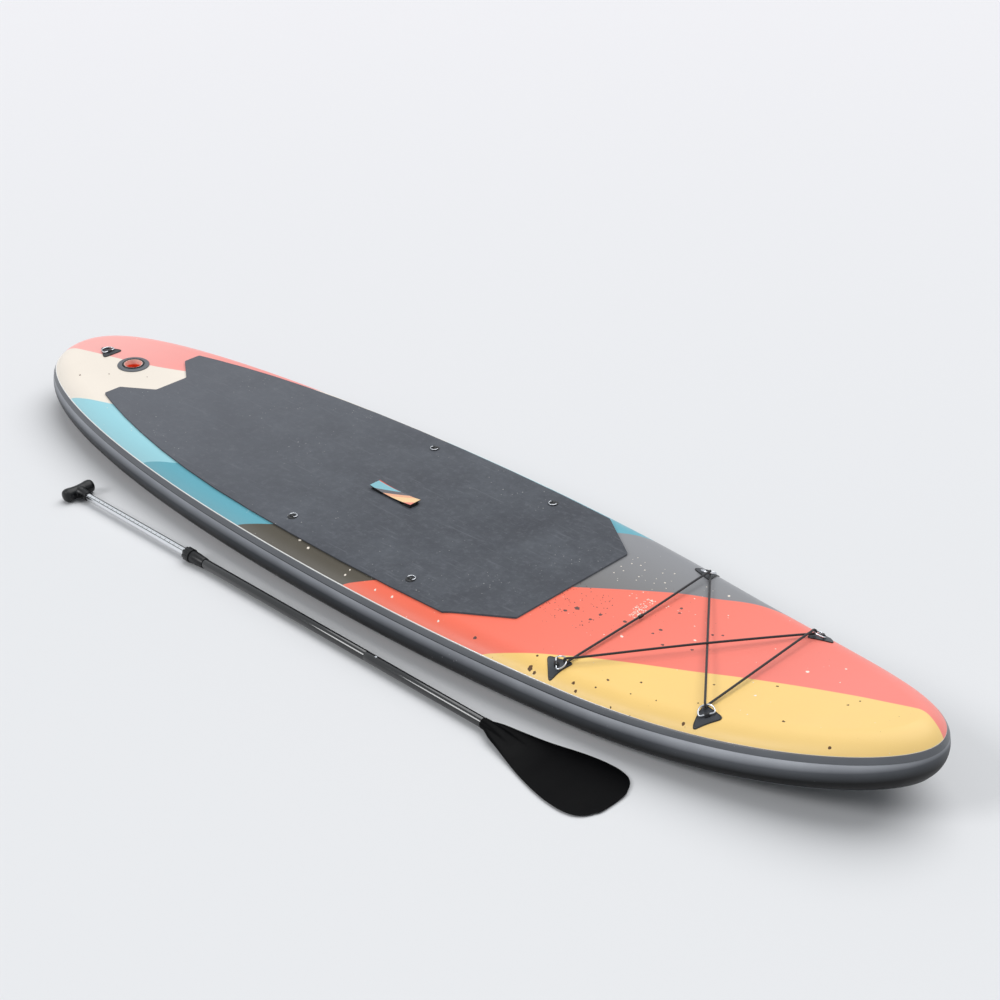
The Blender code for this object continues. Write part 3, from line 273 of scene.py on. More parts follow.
def paint(color):
    # an sRGB colour of three values up to 255 as Blender's linear one; anything else stays
    if not isinstance(color, tuple) or len(color) != 3:
        return color
    shares = [value / 255 for value in color]
    return (*(s / 12.92 if s <= 0.04045 else ((s + 0.055) / 1.055) ** 2.4 for s in shares), 1.0)


class Shading:
    # short calls for one node tree: each adds a node, and most give its output

    def __init__(self, owner):
        owner.use_nodes = True
        self.tree = owner.node_tree

    def put(self, socket, value):
        if isinstance(value, bpy.types.NodeSocket):
            self.tree.links.new(value, socket)
        else:
            socket.default_value = value

    def add(self, kind, inputs=(), **settings):
        made = self.tree.nodes.new("ShaderNode" + kind)
        for key, value in settings.items():
            setattr(made, key, value)
        for key, value in dict(inputs).items():
            self.put(made.inputs[key], value)
        return made

    def calc(self, operation, first, second=0.0, clamp=False):
        return self.add("Math", {0: first, 1: second}, operation=operation, use_clamp=clamp).outputs[0]

    def times(self, first, second):
        return self.calc("MULTIPLY", first, second)

    def minus(self, first, second):
        return self.calc("SUBTRACT", first, second)

    def below(self, first, second):
        return self.calc("LESS_THAN", first, second)

    def mix(self, share, first, second, how="MIX"):
        inputs = {0: share, 6: paint(first), 7: paint(second)}
        return self.add("Mix", inputs, data_type="RGBA", blend_type=how).outputs[2]

    def ramp(self, value, low, high, start=0.0, end=1.0):
        inputs = {"Value": value, "From Min": low, "From Max": high, "To Min": start, "To Max": end}
        return self.add("MapRange", inputs).outputs[0]

    def fade(self, value, low, high, first, second, share=1.0):
        # from the first colour toward the second while the value goes from low to high
        return self.mix(self.ramp(value, low, high, 0.0, share), first, second)

    def part(self, axis, where=None):
        return self.add("SeparateXYZ", {0: where or self.where}).outputs[axis]

    def facing(self):
        return self.part("Z", self.add("NewGeometry").outputs["Normal"])

    def moved(self, **changes):
        inputs = {"Vector": self.where, **changes}
        return self.add("Mapping", inputs).outputs[0]

    def noise(self, scale, detail=3.0, roughness=0.55, distortion=0.0, where=None):
        inputs = {"Vector": where or self.where, "Scale": scale, "Detail": detail,
                  "Roughness": roughness, "Distortion": distortion}
        return self.add("TexNoise", inputs).outputs["Fac"]

    def cells(self, scale, randomness, where=None):
        inputs = {"Vector": where or self.where, "Scale": scale, "Randomness": randomness}
        return self.add("TexVoronoi", inputs).outputs

    def speckle(self, scale, share, size, where=None):
        # small dots in a random share of the cells
        cells = self.cells(scale, 1.0, where)
        toss = self.add("SeparateColor", {0: cells["Color"]}).outputs[0]
        return self.times(self.below(toss, share), self.ramp(cells["Distance"], size, size * 0.6))

    def flecked(self, tone, color, strength, drift, *dots):
        flecks = self.times(self.speckle(*dots), drift)
        return self.mix(self.times(flecks, strength), tone, color)

    def clouded(self, tone, soft, *shades):
        clouds = self.fade(soft, 0.3, 0.7, *((*shade, 1.0) for shade in shades))
        return self.mix(1.0, tone, clouds, "MULTIPLY")

    def weave(self, alongScale, acrossScale, distortion=0.0):
        threads = [self.add("TexWave", {"Vector": self.where, "Scale": scale, "Distortion": distortion},
                            bands_direction=axis).outputs["Fac"]
                   for axis, scale in (("X", alongScale), ("Y", acrossScale))]
        return self.times(*threads)

    def dress(self, tone, rough, height, depth):
        # colour, roughness and relief go to the shader, the depth in millimetres
        self.put(self.sockets["Base Color"], tone)
        self.put(self.sockets["Roughness"], rough)
        bump = self.add("Bump", {"Height": height, "Distance": depth / 1000, "Strength": 1.0})
        self.put(self.sockets["Normal"], bump.outputs[0])


socketNames = {
    "roughness": "Roughness",
    "metallic": "Metallic",
    "coat": "Coat Weight",
    "coatRoughness": "Coat Roughness",
    "specular": "Specular IOR Level",
    "sheen": "Sheen Weight",
}


def startLook(name, **gloss):
    looks[name] = bpy.data.materials.new(name)
    look = Shading(looks[name])
    look.sockets = look.tree.nodes["Principled BSDF"].inputs
    for key, value in {"coatRoughness": 0.1, **gloss}.items():
        look.sockets[socketNames[key]].default_value = value
    look.where = look.add("TexCoord").outputs["Object"]
    return look


# Every plain finish: its colour, how far it varies, the scale of its clouds, its roughness from and to, the
# scale and depth in millimetres of its grain, and what else it has
finishes = {
    "seamTape": ((90, 93, 98), 0.08, 9, (0.36, 0.48), 500, 0.10, {"coat": 0.15, "specks": 0.35}),
    "stitchThreads": ((214, 214, 208), 0.12, 60, (0.80, 0.92), 240, 0.60, {}),
    "patchVinyl": ((44, 47, 53), 0.12, 40, (0.42, 0.58), 1300, 0.12, {}),
    "rimVinyl": ((14, 15, 18), 0.10, 40, (0.34, 0.48), 1300, 0.08, {}),
    "polishedSteel": ((198, 200, 204), 0.04, 90, (0.14, 0.26), 900, 0.02, {"metallic": 1.0}),
    "springSteel": ((190, 192, 196), 0.05, 90, (0.22, 0.34), 900, 0.03, {"metallic": 1.0}),
    "greyPlastic": ((92, 96, 102), 0.06, 30, (0.38, 0.50), 900, 0.06, {}),
    "blackPlastic": ((13, 14, 16), 0.12, 24, (0.26, 0.40), 700, 0.06, {"specular": 0.32}),
    "orangePlastic": ((240, 78, 28), 0.05, 40, (0.18, 0.28), 600, 0.04, {"coat": 0.8}),
    "blackTube": ((8, 9, 11), 0.15, 18, (0.06, 0.12), 900, 0.01, {"coat": 0.6, "specks": 0.05}),
    "bladeNylon": ((3, 3, 4), 0.20, 12, (0.38, 0.50), 1100, 0.04, {"specular": 0.05}),
    "darkMud": ((96, 66, 62), 0.25, 260, (0.5, 0.7), 900, 0.06, {}),
    "brownMud": ((92, 62, 26), 0.30, 260, (0.5, 0.7), 900, 0.06, {}),
    "palePaint": ((250, 240, 226), 0.06, 260, (0.5, 0.7), 900, 0.06, {}),
    # near-white: a painted highlight along the deck tape's edge
    "beadWithPaintedHighlight": ((238, 238, 236), 0.05, 30, (0.10, 0.20), 500, 0.02, {"coat": 1.0}),
    "sealRubber": ((38, 38, 40), 0.10, 40, (0.75, 0.88), 1200, 0.10, {}),
}


def makeFinish(name, color, vary, cloud, rough, grain, depth, specks=0.0, **gloss):
    look = startLook(name, **gloss)
    base = Vector(paint(color)[:3])
    soft = look.noise(cloud, 4.0)
    tone = look.fade(soft, 0.3, 0.7, (*(base * (1 - vary)), 1.0), (*(base * (1 + vary)), 1.0))
    if specks:
        dust = look.times(look.speckle(110, 0.05, 0.16), specks)
        tone = look.mix(dust, tone, (*base.lerp(Vector((0.6, 0.6, 0.6)), 0.5), 1.0))
    look.dress(tone, look.ramp(soft, 0.35, 0.65, *rough), look.noise(grain, 2.0), depth)
    return look


for name, (*plain, extra) in finishes.items():
    makeFinish(name, *plain, **extra)
# the cup's own orange, with a painted highlight: the upper inner wall is painted pale
*plain, extra = finishes["orangePlastic"]
cupLook = makeFinish("cupPlastic", *plain, **extra)
cupColor = cupLook.sockets["Base Color"]
cupLook.put(cupColor, cupLook.fade(cupLook.part("Z"), -0.0125, -0.0085, cupColor.links[0].from_socket,
                                   (255, 216, 204)))
print("plain finishes made")


# The hull's form, the same sizes as the frame's
hull = {
    "length": 3.200,
    "width": 0.760,
    "thickness": 0.150,
    "noseFullness": 0.547,
    "tailFullness": 0.450,
    "noseRockerFrom": 0.761,
    "noseRockerRate": 0.162,
    "tailRockerFrom": 0.450,
    "tailRockerRate": 0.0149,
    "skin": 0.0012,
    "tapeLift": 0.0012,
    "tape": 0.0009,
    "tapeRounding": 0.0003,
    "deckSeam": 63.35,
    "deckTape": (56.7, 70.0),
    "bottomSeam": 140.0,
    "bottomTape": (136.75, 143.25),
    "seamRoom": 0.4,
    "stations": 72,
    "crowding": 1.9,
}
# The inflation valve
valve = {
    "place": (-1.301, 0.0, 0.16088),
    "pitch": 1.439,
    "patchRadius": 0.0490,
    "patchHeight": 0.0040,
    "collarRadius": 0.0340,
    "collarHeight": 0.0062,
    "bore": 0.0285,
    "neck": 0.0307,
    "neckFoot": -0.0120,
    "well": 0.0430,
    "wellFloor": -0.0363,
    "cupWall": 0.0015,
    "cupDepth": 0.0220,
    "cupFloor": 0.0020,
    "rimDrop": 0.0012,
    "ventRadius": 0.0042,
    "ventReach": 0.0135,
    "vents": 4,
    "headRadius": 0.0070,
    "headLevel": -0.01122,
    "headThickness": 0.0020,
    "stemRadius": 0.0035,
    "stemRoom": 0.0004,
    "springWire": 0.0009,
    "springTurns": 3.5,
    "springGap": 0.0004,
}
railRadius = hull["thickness"] / 2
flatLength = hull["length"] / 2 - railRadius
flatWidth = hull["width"] / 2 - railRadius
deckLevel = hull["thickness"]


def fullnessAt(x):
    return hull["noseFullness"] if x > 0 else hull["tailFullness"]


def halfWidth(x):
    return flatWidth * max(1.0 - (x / flatLength) ** 2, 0.0) ** fullnessAt(x)


def rockerAt(x):
    nose = max(x - hull["noseRockerFrom"], 0.0)
    tail = max(-x - hull["tailRockerFrom"], 0.0)
    return hull["noseRockerRate"] * nose ** 2 + hull["tailRockerRate"] * tail ** 2


def outwardAt(x):
    # the outline's outward direction in plan, on the far side
    share = x / flatLength
    inside = 1.0 - share ** 2
    if inside < 1e-9:
        return copysign(1.0, x), 0.0
    slope = -2 * flatWidth * fullnessAt(x) * share * inside ** (fullnessAt(x) - 1) / flatLength
    size = hypot(slope, 1.0)
    return -slope / size, 1.0 / size


def hullPoint(x, side, degrees, radius):
    # degrees is 0 at the deck's edge and 180 at the bottom's
    along, across = outwardAt(x)
    reach = radius * sin(radians(degrees))
    height = railRadius + rockerAt(x) + radius * cos(radians(degrees))
    return x + along * reach, side * (halfWidth(x) + across * reach), height


def deckHeight(x, y):
    # the deck's top, flat and then falling over the shoulder
    along, across = outwardAt(max(-flatLength, min(flatLength, x)))
    beyond = max((abs(y) - halfWidth(x)) * across, 0.0)
    return railRadius + rockerAt(x - along * beyond) + sqrt(max(railRadius ** 2 - beyond ** 2, 0.0))


# stations stand closer together toward the tips, where the outline turns
shares = [i / hull["stations"] for i in range(hull["stations"])]
half = [flatLength * cos(pi / 2 * share ** hull["crowding"]) for share in shares]
stations = [-x for x in half] + [0.0] + half[::-1]


def railRow(x, side, angles, radius):
    return [hullPoint(x, side, degrees, radius) for degrees in angles]


def sheetMesh(angles, bottom=False):
    # over the flat from one rail to the other, with a row just inside each edge of the flat
    rows = []
    side = -1 if bottom else 1
    for x in stations:
        level = railRadius + rockerAt(x) + side * railRadius
        first = railRow(x, side, angles, railRadius)
        second = railRow(x, -side, angles[::-1], railRadius)
        inner = halfWidth(x) - min(0.005, halfWidth(x) * 0.4)
        middle = [(x, side * inner * share, level) for share in (1.0, 0.5, 0.0, -0.5, -1.0)]
        rows.append(first + middle + second)
    return gridMesh(rows)


def bandMesh(angles, radius):
    far = [railRow(x, 1, angles, radius) for x in reversed(stations)]
    return gridMesh([railRow(x, -1, angles, radius) for x in stations] + far)


# The printed deck: seven plain colours between six curved lines, and flecks of paint, with painted glare on
# the far olive and a painted highlight over the shoulder
deckPrint = {
    "lines": {
        "pinkCream": [(-1.545, -0.069), (-1.457, -0.035), (-1.360, -0.002), (-1.266, 0.034),
                      (-1.157, 0.087), (-0.827, 0.271), (-0.768, 0.305)],
        "creamBlue": [(-1.294, -0.232), (-1.230, -0.225), (-1.154, -0.207), (-0.314, 0.309),
                      (-0.275, 0.34)],
        "blueTeal": [(-0.830, -0.320), (-0.777, -0.306), (-0.718, -0.286), (0.063, 0.312), (0.10, 0.334)],
        "tealOlive": [(-0.365, -0.355), (-0.315, -0.339), (-0.262, -0.315), (0.421, 0.275),
                      (0.475, 0.308)],
        "oliveCoral": [(0.060, -0.363), (0.109, -0.339), (0.149, -0.310), (0.531, 0.006), (0.661, 0.108),
                       (0.747, 0.168), (0.815, 0.202), (0.882, 0.238), (0.965, 0.265)],
        "coralYellow": [(0.538, -0.343), (0.582, -0.324), (0.630, -0.299), (0.691, -0.259),
                        (0.740, -0.223), (0.840, -0.163), (0.965, -0.101), (1.117, -0.034),
                        (1.322, 0.024), (1.443, 0.040), (1.513, 0.044), (1.551, 0.032)],
    },
    "tailPink": (254, 182, 176),
    "pink": (250, 150, 142),
    "cream": (247, 237, 224),
    "blue": (160, 217, 228),
    "teal": (101, 175, 192),
    "olive": (80, 74, 62),
    # painted glare: the olive washed out to grey toward the far side
    "olivePaintedGlare": (144, 145, 149),
    "coral": (252, 114, 86),
    "nosePink": (253, 141, 130),
    "yellow": (254, 210, 118),
    "paleYellow": (255, 217, 138),
    # painted highlight over the shoulder
    "shoulderPaintedHighlight": (255, 252, 246),
    "paleDust": (252, 248, 240),
    "darkDust": (96, 56, 36),
    "reach": 1.70,
    "lineSoftness": 0.0007,
}


def heightOverMiddle(look):
    # how high a point stands over the rail's middle, the rocker taken off
    x = look.part("X")
    nose = look.calc("MAXIMUM", look.minus(x, hull["noseRockerFrom"]), 0.0)
    tail = look.calc("MAXIMUM", look.minus(-hull["tailRockerFrom"], x), 0.0)
    lifted = look.calc("ADD", look.times(look.calc("POWER", nose, 2.0), hull["noseRockerRate"]),
                       look.times(look.calc("POWER", tail, 2.0), hull["tailRockerRate"]))
    return look.minus(look.minus(look.part("Z"), lifted), railRadius)


def drawCurve(curve, line, reach):
    # the line goes straight on past both of its ends
    first, last = Vector(line[0]), Vector(line[-1])
    before = (first - Vector(line[1])).normalized()
    after = (last - Vector(line[-2])).normalized()
    start = first + before * min((first.x + reach) / -before.x, (first.y + 1) / max(-before.y, 1e-6))
    end = last + after * min((reach - last.x) / after.x, (1 - last.y) / max(after.y, 1e-6))
    places = [start] + [Vector(point) for point in line] + [end]
    points = curve.mapping.curves[0].points
    while len(points) < len(places):
        points.new(0.5, 0.5)
    for point, where in zip(points, places):
        point.location = ((where.x + reach) / (2 * reach), (where.y + 1) / 2)
        point.handle_type = "AUTO_CLAMPED"
    for index in (0, 1, -2, -1):
        points[index].handle_type = "VECTOR"
    curve.mapping.update()


def makeDeckPrint():
    look = startLook("deckPrint", coat=0.05, coatRoughness=0.25, specular=0.35)
    x, y = look.part("X"), look.part("Y")
    reach, soft = deckPrint["reach"], deckPrint["lineSoftness"] / 2
    along, across = look.ramp(x, -reach, reach), look.ramp(y, -1.0, 1.0)
    # coral turns a little pinker and yellow a little paler toward the nose; painted glare: olive turns greyer
    # and paler to the far side
    toNose = look.ramp(x, 0.35, 1.35)
    tone = look.mix(toNose, deckPrint["yellow"], deckPrint["paleYellow"])
    bands = {
        "coralYellow": look.mix(toNose, deckPrint["coral"], deckPrint["nosePink"]),
        "oliveCoral": look.fade(y, -0.20, 0.28, deckPrint["olive"], deckPrint["olivePaintedGlare"]),
        "tealOlive": deckPrint["teal"],
        "blueTeal": deckPrint["blue"],
        "creamBlue": deckPrint["cream"],
        "pinkCream": look.fade(x, -1.0, -1.5, deckPrint["pink"], deckPrint["tailPink"]),
    }
    for name, color in bands.items():
        curve = look.add("FloatCurve", {"Value": along})
        drawCurve(curve, deckPrint["lines"][name], reach)
        tone = look.fade(look.minus(across, curve.outputs[0]), -soft, soft, tone, color)
    tone = look.clouded(tone, look.noise(3.5), (0.95, 0.95, 0.95), (1.0, 1.0, 1.0))
    # painted highlight: the print pales toward white over the shoulder, least at the nose
    tapeTop = railRadius * cos(radians(hull["deckTape"][0]))
    shoulder = look.ramp(heightOverMiddle(look), 0.072, tapeTop, 0.0, 0.07)
    pale = look.times(shoulder, look.ramp(x, 0.55, 1.05, 1.0, 0.12))
    tone = look.mix(pale, tone, deckPrint["shoulderPaintedHighlight"])
    # fine flecks of dust in drifts, the dark ones only toward the nose
    drift = look.ramp(look.noise(4.2), 0.50, 0.66)
    tone = look.flecked(tone, deckPrint["paleDust"], 0.65, drift, 110, 0.045, 0.20)
    elsewhere = look.moved(Location=(3.1, 1.7, 0.4))
    tone = look.flecked(tone, deckPrint["darkDust"], look.times(drift, 0.6), look.ramp(x, 0.35, 0.55),
                        130, 0.05, 0.22, elsewhere)
    look.dress(tone, look.ramp(look.noise(14, 4.0), 0.3, 0.7, 0.34, 0.46), look.noise(300, 2.0), 0.10)


# Painted shade: the rail is painted pale at the top and darkens downward as if lit from above, and is painted
# paler at the nose; the bottom has a thin orange line at its rim
lowerSheets = {
    "railLitTop": (156, 159, 165),
    "noseTop": (190, 193, 199),
    "railShadedMiddle": (68, 71, 76),
    "noseShadedMiddle": (94, 97, 102),
    "railShadedFoot": (6, 6, 7),
    "seamLine": (24, 26, 29),
    "bottom": (58, 60, 64),
    "rim": (168, 92, 56),
    "rimHeight": -0.0622,
    "dust": (168, 170, 174),
}


def makeLowerSheet(name):
    look = startLook(name, specular=0.2)
    height = heightOverMiddle(look)
    if name == "railSheet":
        # painted light and shade: a lit top, a shaded middle and a dark foot, all paler toward the nose
        toNose = look.ramp(look.part("X"), 0.45, 1.15)
        top = look.mix(toNose, lowerSheets["railLitTop"], lowerSheets["noseTop"])
        middle = look.mix(toNose, lowerSheets["railShadedMiddle"], lowerSheets["noseShadedMiddle"])
        tapeFoot = railRadius * cos(radians(hull["deckTape"][1]))
        tone = look.fade(height, -0.032, 0.002, lowerSheets["railShadedFoot"], middle)
        tone = look.fade(height, -0.004, 0.022, tone, top)
        tone = look.fade(height, tapeFoot - 0.0022, tapeFoot - 0.0014, tone, lowerSheets["seamLine"])
    else:
        rim = lowerSheets["rimHeight"]
        tone = look.fade(height, rim - 0.0006, rim, lowerSheets["bottom"], lowerSheets["rim"])
    soft = look.noise(7, 4.0)
    tone = look.clouded(tone, soft, (0.86, 0.86, 0.87), (1.12, 1.12, 1.12))
    drift = look.ramp(look.noise(3.0), 0.46, 0.64)
    tone = look.flecked(tone, lowerSheets["dust"], 0.55, drift, 130, 0.07, 0.22)
    look.dress(tone, look.ramp(soft, 0.3, 0.7, 0.38, 0.52), look.noise(420, 2.0), 0.12)


def closedShell(mesh, thickness):
    # the sheet's own thickness, laid inward, as one closed mesh
    build = bmesh.new()
    build.from_mesh(mesh)
    count = len(build.verts)
    under = [build.verts.new(vert.co - vert.normal * thickness) for vert in build.verts[:]]
    for face in build.faces[:]:
        build.faces.new([under[vert.index] for vert in reversed(face.verts)])
    build.verts.index_update()
    for line in [line for line in build.edges if line.is_boundary]:
        first, second = line.verts
        if first.index < count and second.index < count:
            build.faces.new((second, first, under[first.index], under[second.index]))
    bmesh.ops.recalc_face_normals(build, faces=build.faces)
    return toMesh(build)


# The hull: deck, air chamber, rail, tapes and bottom
makeDeckPrint()
makeLowerSheet("railSheet")
makeLowerSheet("bottomSheet")
seamRoom, neckHole = hull["seamRoom"], valve["neck"] + gap
valveSeat = placed(valve["place"], (0.0, valve["pitch"], 0.0))
deckAngles = spread(0.0, hull["deckSeam"] - seamRoom, 14)
deckShell = closedShell(sheetMesh(deckAngles[::-1]), hull["skin"])
cutTop = 0.02  # the holes start well above the deck
addPiece("deckSheet", cutRound(deckShell, neckHole, -cutTop, cutTop, valveSeat), "deckPrint",
         node="deck_skin", slot="deck_print")
chamberRadius = railRadius - hull["skin"] - gap
chamberSides = [(-1, spread(0.0, 180.0, 30)), (1, spread(180.0, 0.0, 30))]
chamber = gridMesh([[point for side, angles in chamberSides
                     for point in railRow(x, side, angles, chamberRadius)] for x in stations], around=True)
for radius, floor in ((valve["well"], valve["neckFoot"] - gap), (neckHole, valve["wellFloor"])):
    chamber = cutRound(chamber, radius, floor, cutTop, valveSeat)
addPiece("airChamber", chamber, "stitchThreads", node="drop_stitch_core", slot="drop_stitch")
railAngles = spread(hull["deckSeam"] + seamRoom, hull["bottomSeam"] - seamRoom, 18)
thicken(addPiece("railWall", bandMesh(railAngles, railRadius), "railSheet", node="rail_band",
                 slot="rail_sheet"), hull["skin"], -1.0)
for name, node, ends, count in (("deckTape", "deck_seam_tape", hull["deckTape"], 6),
                                ("bottomTape", "bottom_seam_tape", hull["bottomTape"], 4)):
    tape = addPiece(name, bandMesh(spread(*ends, count), railRadius + hull["tapeLift"]), "seamTape",
                    node=node, slot="seam_tape")
    thicken(tape, hull["tape"], -1.0)
    roundEdges(tape, hull["tapeRounding"], 1, 60.0)
bottomAngles = spread(hull["bottomSeam"] + seamRoom, 180.0, 8)
thicken(addPiece("bottomSheet", sheetMesh(bottomAngles, True), "bottomSheet", node="bottom_skin",
                 slot="bottom_sheet"), hull["skin"], -1.0)

# A thin round bead of weld along the deck tape's upper edge, thinner round the nose; its near-white colour is
# a painted highlight
bead = {
    "degrees": 56.1,
    "lift": 0.0006,
    "radius": 0.0017,
    "noseRadius": 0.0004,
    "thinsFrom": 0.55,
    "thinsTo": 1.05,
}


def beadRow(x, side):
    share = min(max((x - bead["thinsFrom"]) / (bead["thinsTo"] - bead["thinsFrom"]), 0.0), 1.0)
    radius = bead["radius"] * (1 - share) + bead["noseRadius"] * share
    middle = Vector(hullPoint(x, side, bead["degrees"], railRadius + bead["lift"]))
    ahead, behind, out = (Vector(hullPoint(x, side, bead["degrees"] + turn, 1.0)) for turn in (90, -90, 0))
    along, outward = (ahead - behind).normalized(), (out - middle).normalized()
    return [middle + outward * lift + along * shift for lift, shift in circle(radius, 8)]


beadRows = [beadRow(x, -1) for x in stations] + [beadRow(x, 1) for x in stations[-2:0:-1]]
addPiece("beadWithPaintedHighlight", gridMesh(beadRows + beadRows[:1], 80.0, True), "beadWithPaintedHighlight")
print("hull dressed")


# The foam pad
pad = {
    "tail": -1.204,
    "front": 0.517,
    "thickness": 0.0050,
    "overhang": 0.019,
    "tailInset": 0.065,
    "cornerLength": 0.154,
    "frontHalf": 0.2095,
    "notchDepth": 0.091,
    "notchMouth": 0.123,
    "notchFloor": 0.057,
    "cornerRadius": 0.005,
    "edgeRounding": 0.0009,
    # where the pad is cut into cells: from, to and how many, and close lines where the shoulder begins
    "alongCuts": (-1.2, 0.5, 34),
    "acrossCuts": (-0.32, 0.32, 16),
    "shoulderCuts": (-0.302, 0.302, -0.311, 0.311),
    "color": (76, 80, 87),
    "paleColor": (104, 107, 114),
    "darkColor": (60, 63, 70),
    "sideWallShade": (10, 11, 13),
    "scuffColor": (120, 123, 130),
    "dustColor": (186, 186, 184),
}
padCorner = pad["front"] - pad["cornerLength"]


def padHalf(x):
    side = halfWidth(x) + pad["overhang"] - pad["tailInset"] * max(-hull["tailRockerFrom"] - x, 0.0) ** 2
    if x <= padCorner:
        return side
    share = (x - padCorner) / pad["cornerLength"]
    return (halfWidth(padCorner) + pad["overhang"]) * (1 - share) + pad["frontHalf"] * share


def drapedSheet(loops, lift, alongCuts=(), acrossCuts=()):
    # fills flat outlines, cuts them into cells and lays them on the deck
    build = bmesh.new()
    build.from_mesh(finalMesh(addObject("outline", flatCurve(loops))))
    bmesh.ops.remove_doubles(build, verts=build.verts, dist=0.00001)
    for places, normal in ((alongCuts, (1, 0, 0)), (acrossCuts, (0, 1, 0))):
        for place in places:
            where = [value * place for value in normal]
            everything = build.verts[:] + build.edges[:] + build.faces[:]
            bmesh.ops.bisect_plane(build, geom=everything, plane_co=where, plane_no=normal, dist=0.00005)
    for vert in build.verts:
        vert.co.z = deckHeight(vert.co.x, vert.co.y) + lift
    for face in build.faces:
        if face.normal.z < 0:
            face.normal_flip()
    return toMesh(build)


def makePadFoam():
    look = startLook("padFoam", specular=0.4)
    pale, dark = pad["paleColor"], pad["darkColor"]
    patches, mottle = look.noise(17.0, 5.0, 0.65), look.noise(62.0, 4.0, 0.7)
    tone = look.fade(look.noise(5.5, 6.0, 0.62, 0.4), 0.34, 0.66, dark, pad["color"])
    tone = look.fade(patches, 0.50, 0.78, tone, pale, 0.35)
    tone = look.fade(mottle, 0.52, 0.74, tone, pale, 0.40)
    tone = look.fade(mottle, 0.46, 0.28, tone, dark, 0.45)
    tone = look.fade(look.part("X"), 0.1, -1.1, tone, pale, 0.62)
    # faint scuffs, long and thin, then flecks of dust in drifts, then painted shade on the pad's side walls
    for turn, scale, low, high, share in ((0.6, 1.6, 0.60, 0.76, 0.35), (-0.35, 3.1, 0.67, 0.74, 0.40),
                                          (1.1, 2.6, 0.68, 0.75, 0.35)):
        drawn = look.moved(Rotation=(0.0, 0.0, turn), Scale=(5.0, 60.0, 1.0))
        scuffs = look.noise(scale, 4.0, 0.6, where=drawn)
        tone = look.fade(scuffs, low, high, tone, pad["scuffColor"], share)
    drift = look.ramp(look.noise(5.0), 0.48, 0.64)
    for dots in ((80, 0.045, 0.17), (150, 0.07, 0.24)):
        tone = look.flecked(tone, pad["dustColor"], 0.75, drift, *dots)
    # painted shade: faces that turn away from up are darkened as if in shadow
    tone = look.fade(look.facing(), 0.55, 0.75, pad["sideWallShade"], tone)
    grain = look.calc("ADD", look.noise(520, 3.0, 0.7), look.times(look.noise(95), 1.4))
    look.dress(tone, look.ramp(patches, 0.3, 0.7, 0.62, 0.80), grain, 0.40)


# The carry handle
handle = {
    "x": -0.135,
    "length": 0.160,
    "width": 0.038,
    "rise": 0.0180,
    "sag": 0.0055,
    "thickness": 0.0030,
    "webbing": 0.0016,
    "webbingWidth": 0.030,
    "footLength": 0.026,
    "footInset": 0.012,
    "anchorTop": 0.0018,
    "window": (0.0225, 0.0185),
    "fieldLift": 0.00005,
    "fieldThickness": 0.00015,
    "sleeveDroop": 0.0004,
    "sleeveRounding": 0.0009,
    "blue": (139, 196, 208),
    "red": (222, 82, 52),
    # the slanting stripes after the blue: where each begins and its colour
    "stripes": ((0.12, (108, 106, 110)), (0.32, (246, 184, 148)), (0.48, (252, 214, 164)),
                (0.82, (248, 152, 136))),
    "lining": (24, 25, 28),
    "webbingColors": ((20, 21, 24), (44, 46, 50)),
}
handleHalf = handle["length"] / 2
footReach = handleHalf - handle["footInset"] - handle["footLength"] / 2
padWindows = []
for x in (handle["x"] - footReach, handle["x"] + footReach):
    halfX, halfY = handle["window"]
    padWindows.append([(x - halfX, -halfY), (x + halfX, -halfY), (x + halfX, halfY), (x - halfX, halfY)])
padPlaces = [x for x in stations[::3] if pad["tail"] < x < padCorner]
padSide = [(pad["tail"] + pad["notchDepth"], pad["notchFloor"]), (pad["tail"], pad["notchMouth"])]
padSide += [(x, padHalf(x)) for x in [pad["tail"], *padPlaces, padCorner, pad["front"]]]
padOutline = eased([(x, -y) for x, y in padSide] + padSide[::-1], pad["cornerRadius"], 4, straight=12)
makePadFoam()
padMesh = drapedSheet([padOutline] + padWindows, gap, spread(*pad["alongCuts"]),
                      [*spread(*pad["acrossCuts"]), *pad["shoulderCuts"]])
padPiece = addPiece("deckPadFoam", padMesh, "padFoam", node="deck_pad", slot="pad_foam")
thicken(padPiece, pad["thickness"], 1.0)
roundEdges(padPiece, pad["edgeRounding"], 2, 60.0)
# thin dark fields welded to the deck under the handle's feet, as wide as the pad's windows
thicken(addPiece("handleFields", drapedSheet(padWindows, handle["fieldLift"]), "patchVinyl"),
        handle["fieldThickness"], 1.0)
print("pad laid")


def makeSleevePrint():
    look = startLook("sleevePrint", specular=0.4)
    along = look.ramp(look.part("X"), handle["x"] - handleHalf, handle["x"] + handleHalf)
    across = look.ramp(look.part("Y"), -handle["width"] / 2, handle["width"] / 2)
    slant = look.minus(along, look.times(across, 0.42))
    hem = look.minus(across, look.times(along, 0.18))
    tone = look.fade(hem, 0.88, 0.90, handle["blue"], handle["red"])
    for start, color in handle["stripes"]:
        tone = look.fade(slant, start, start + 0.006, tone, color)
    # only the top is printed, the sides and the underside are black
    tone = look.fade(look.facing(), 0.45, 0.6, handle["lining"], tone)
    look.dress(tone, 0.62, look.weave(420.0, 420.0), 0.15)


def sleeveBottom(offset):
    share = offset / handleHalf
    return handle["rise"] - handle["thickness"] - handle["sag"] * (1 - share ** 2)


def strapMesh(path, width, overhang=0.0):
    # a flat band along a path of (x, height), its sides drooping by overhang
    return gridMesh([[(x, width / 2 * share, height - overhang * abs(share) ** 3)
                      for share in (1.0, 0.8, 0.4, 0.0, -0.4, -0.8, -1.0)] for x, height in path])


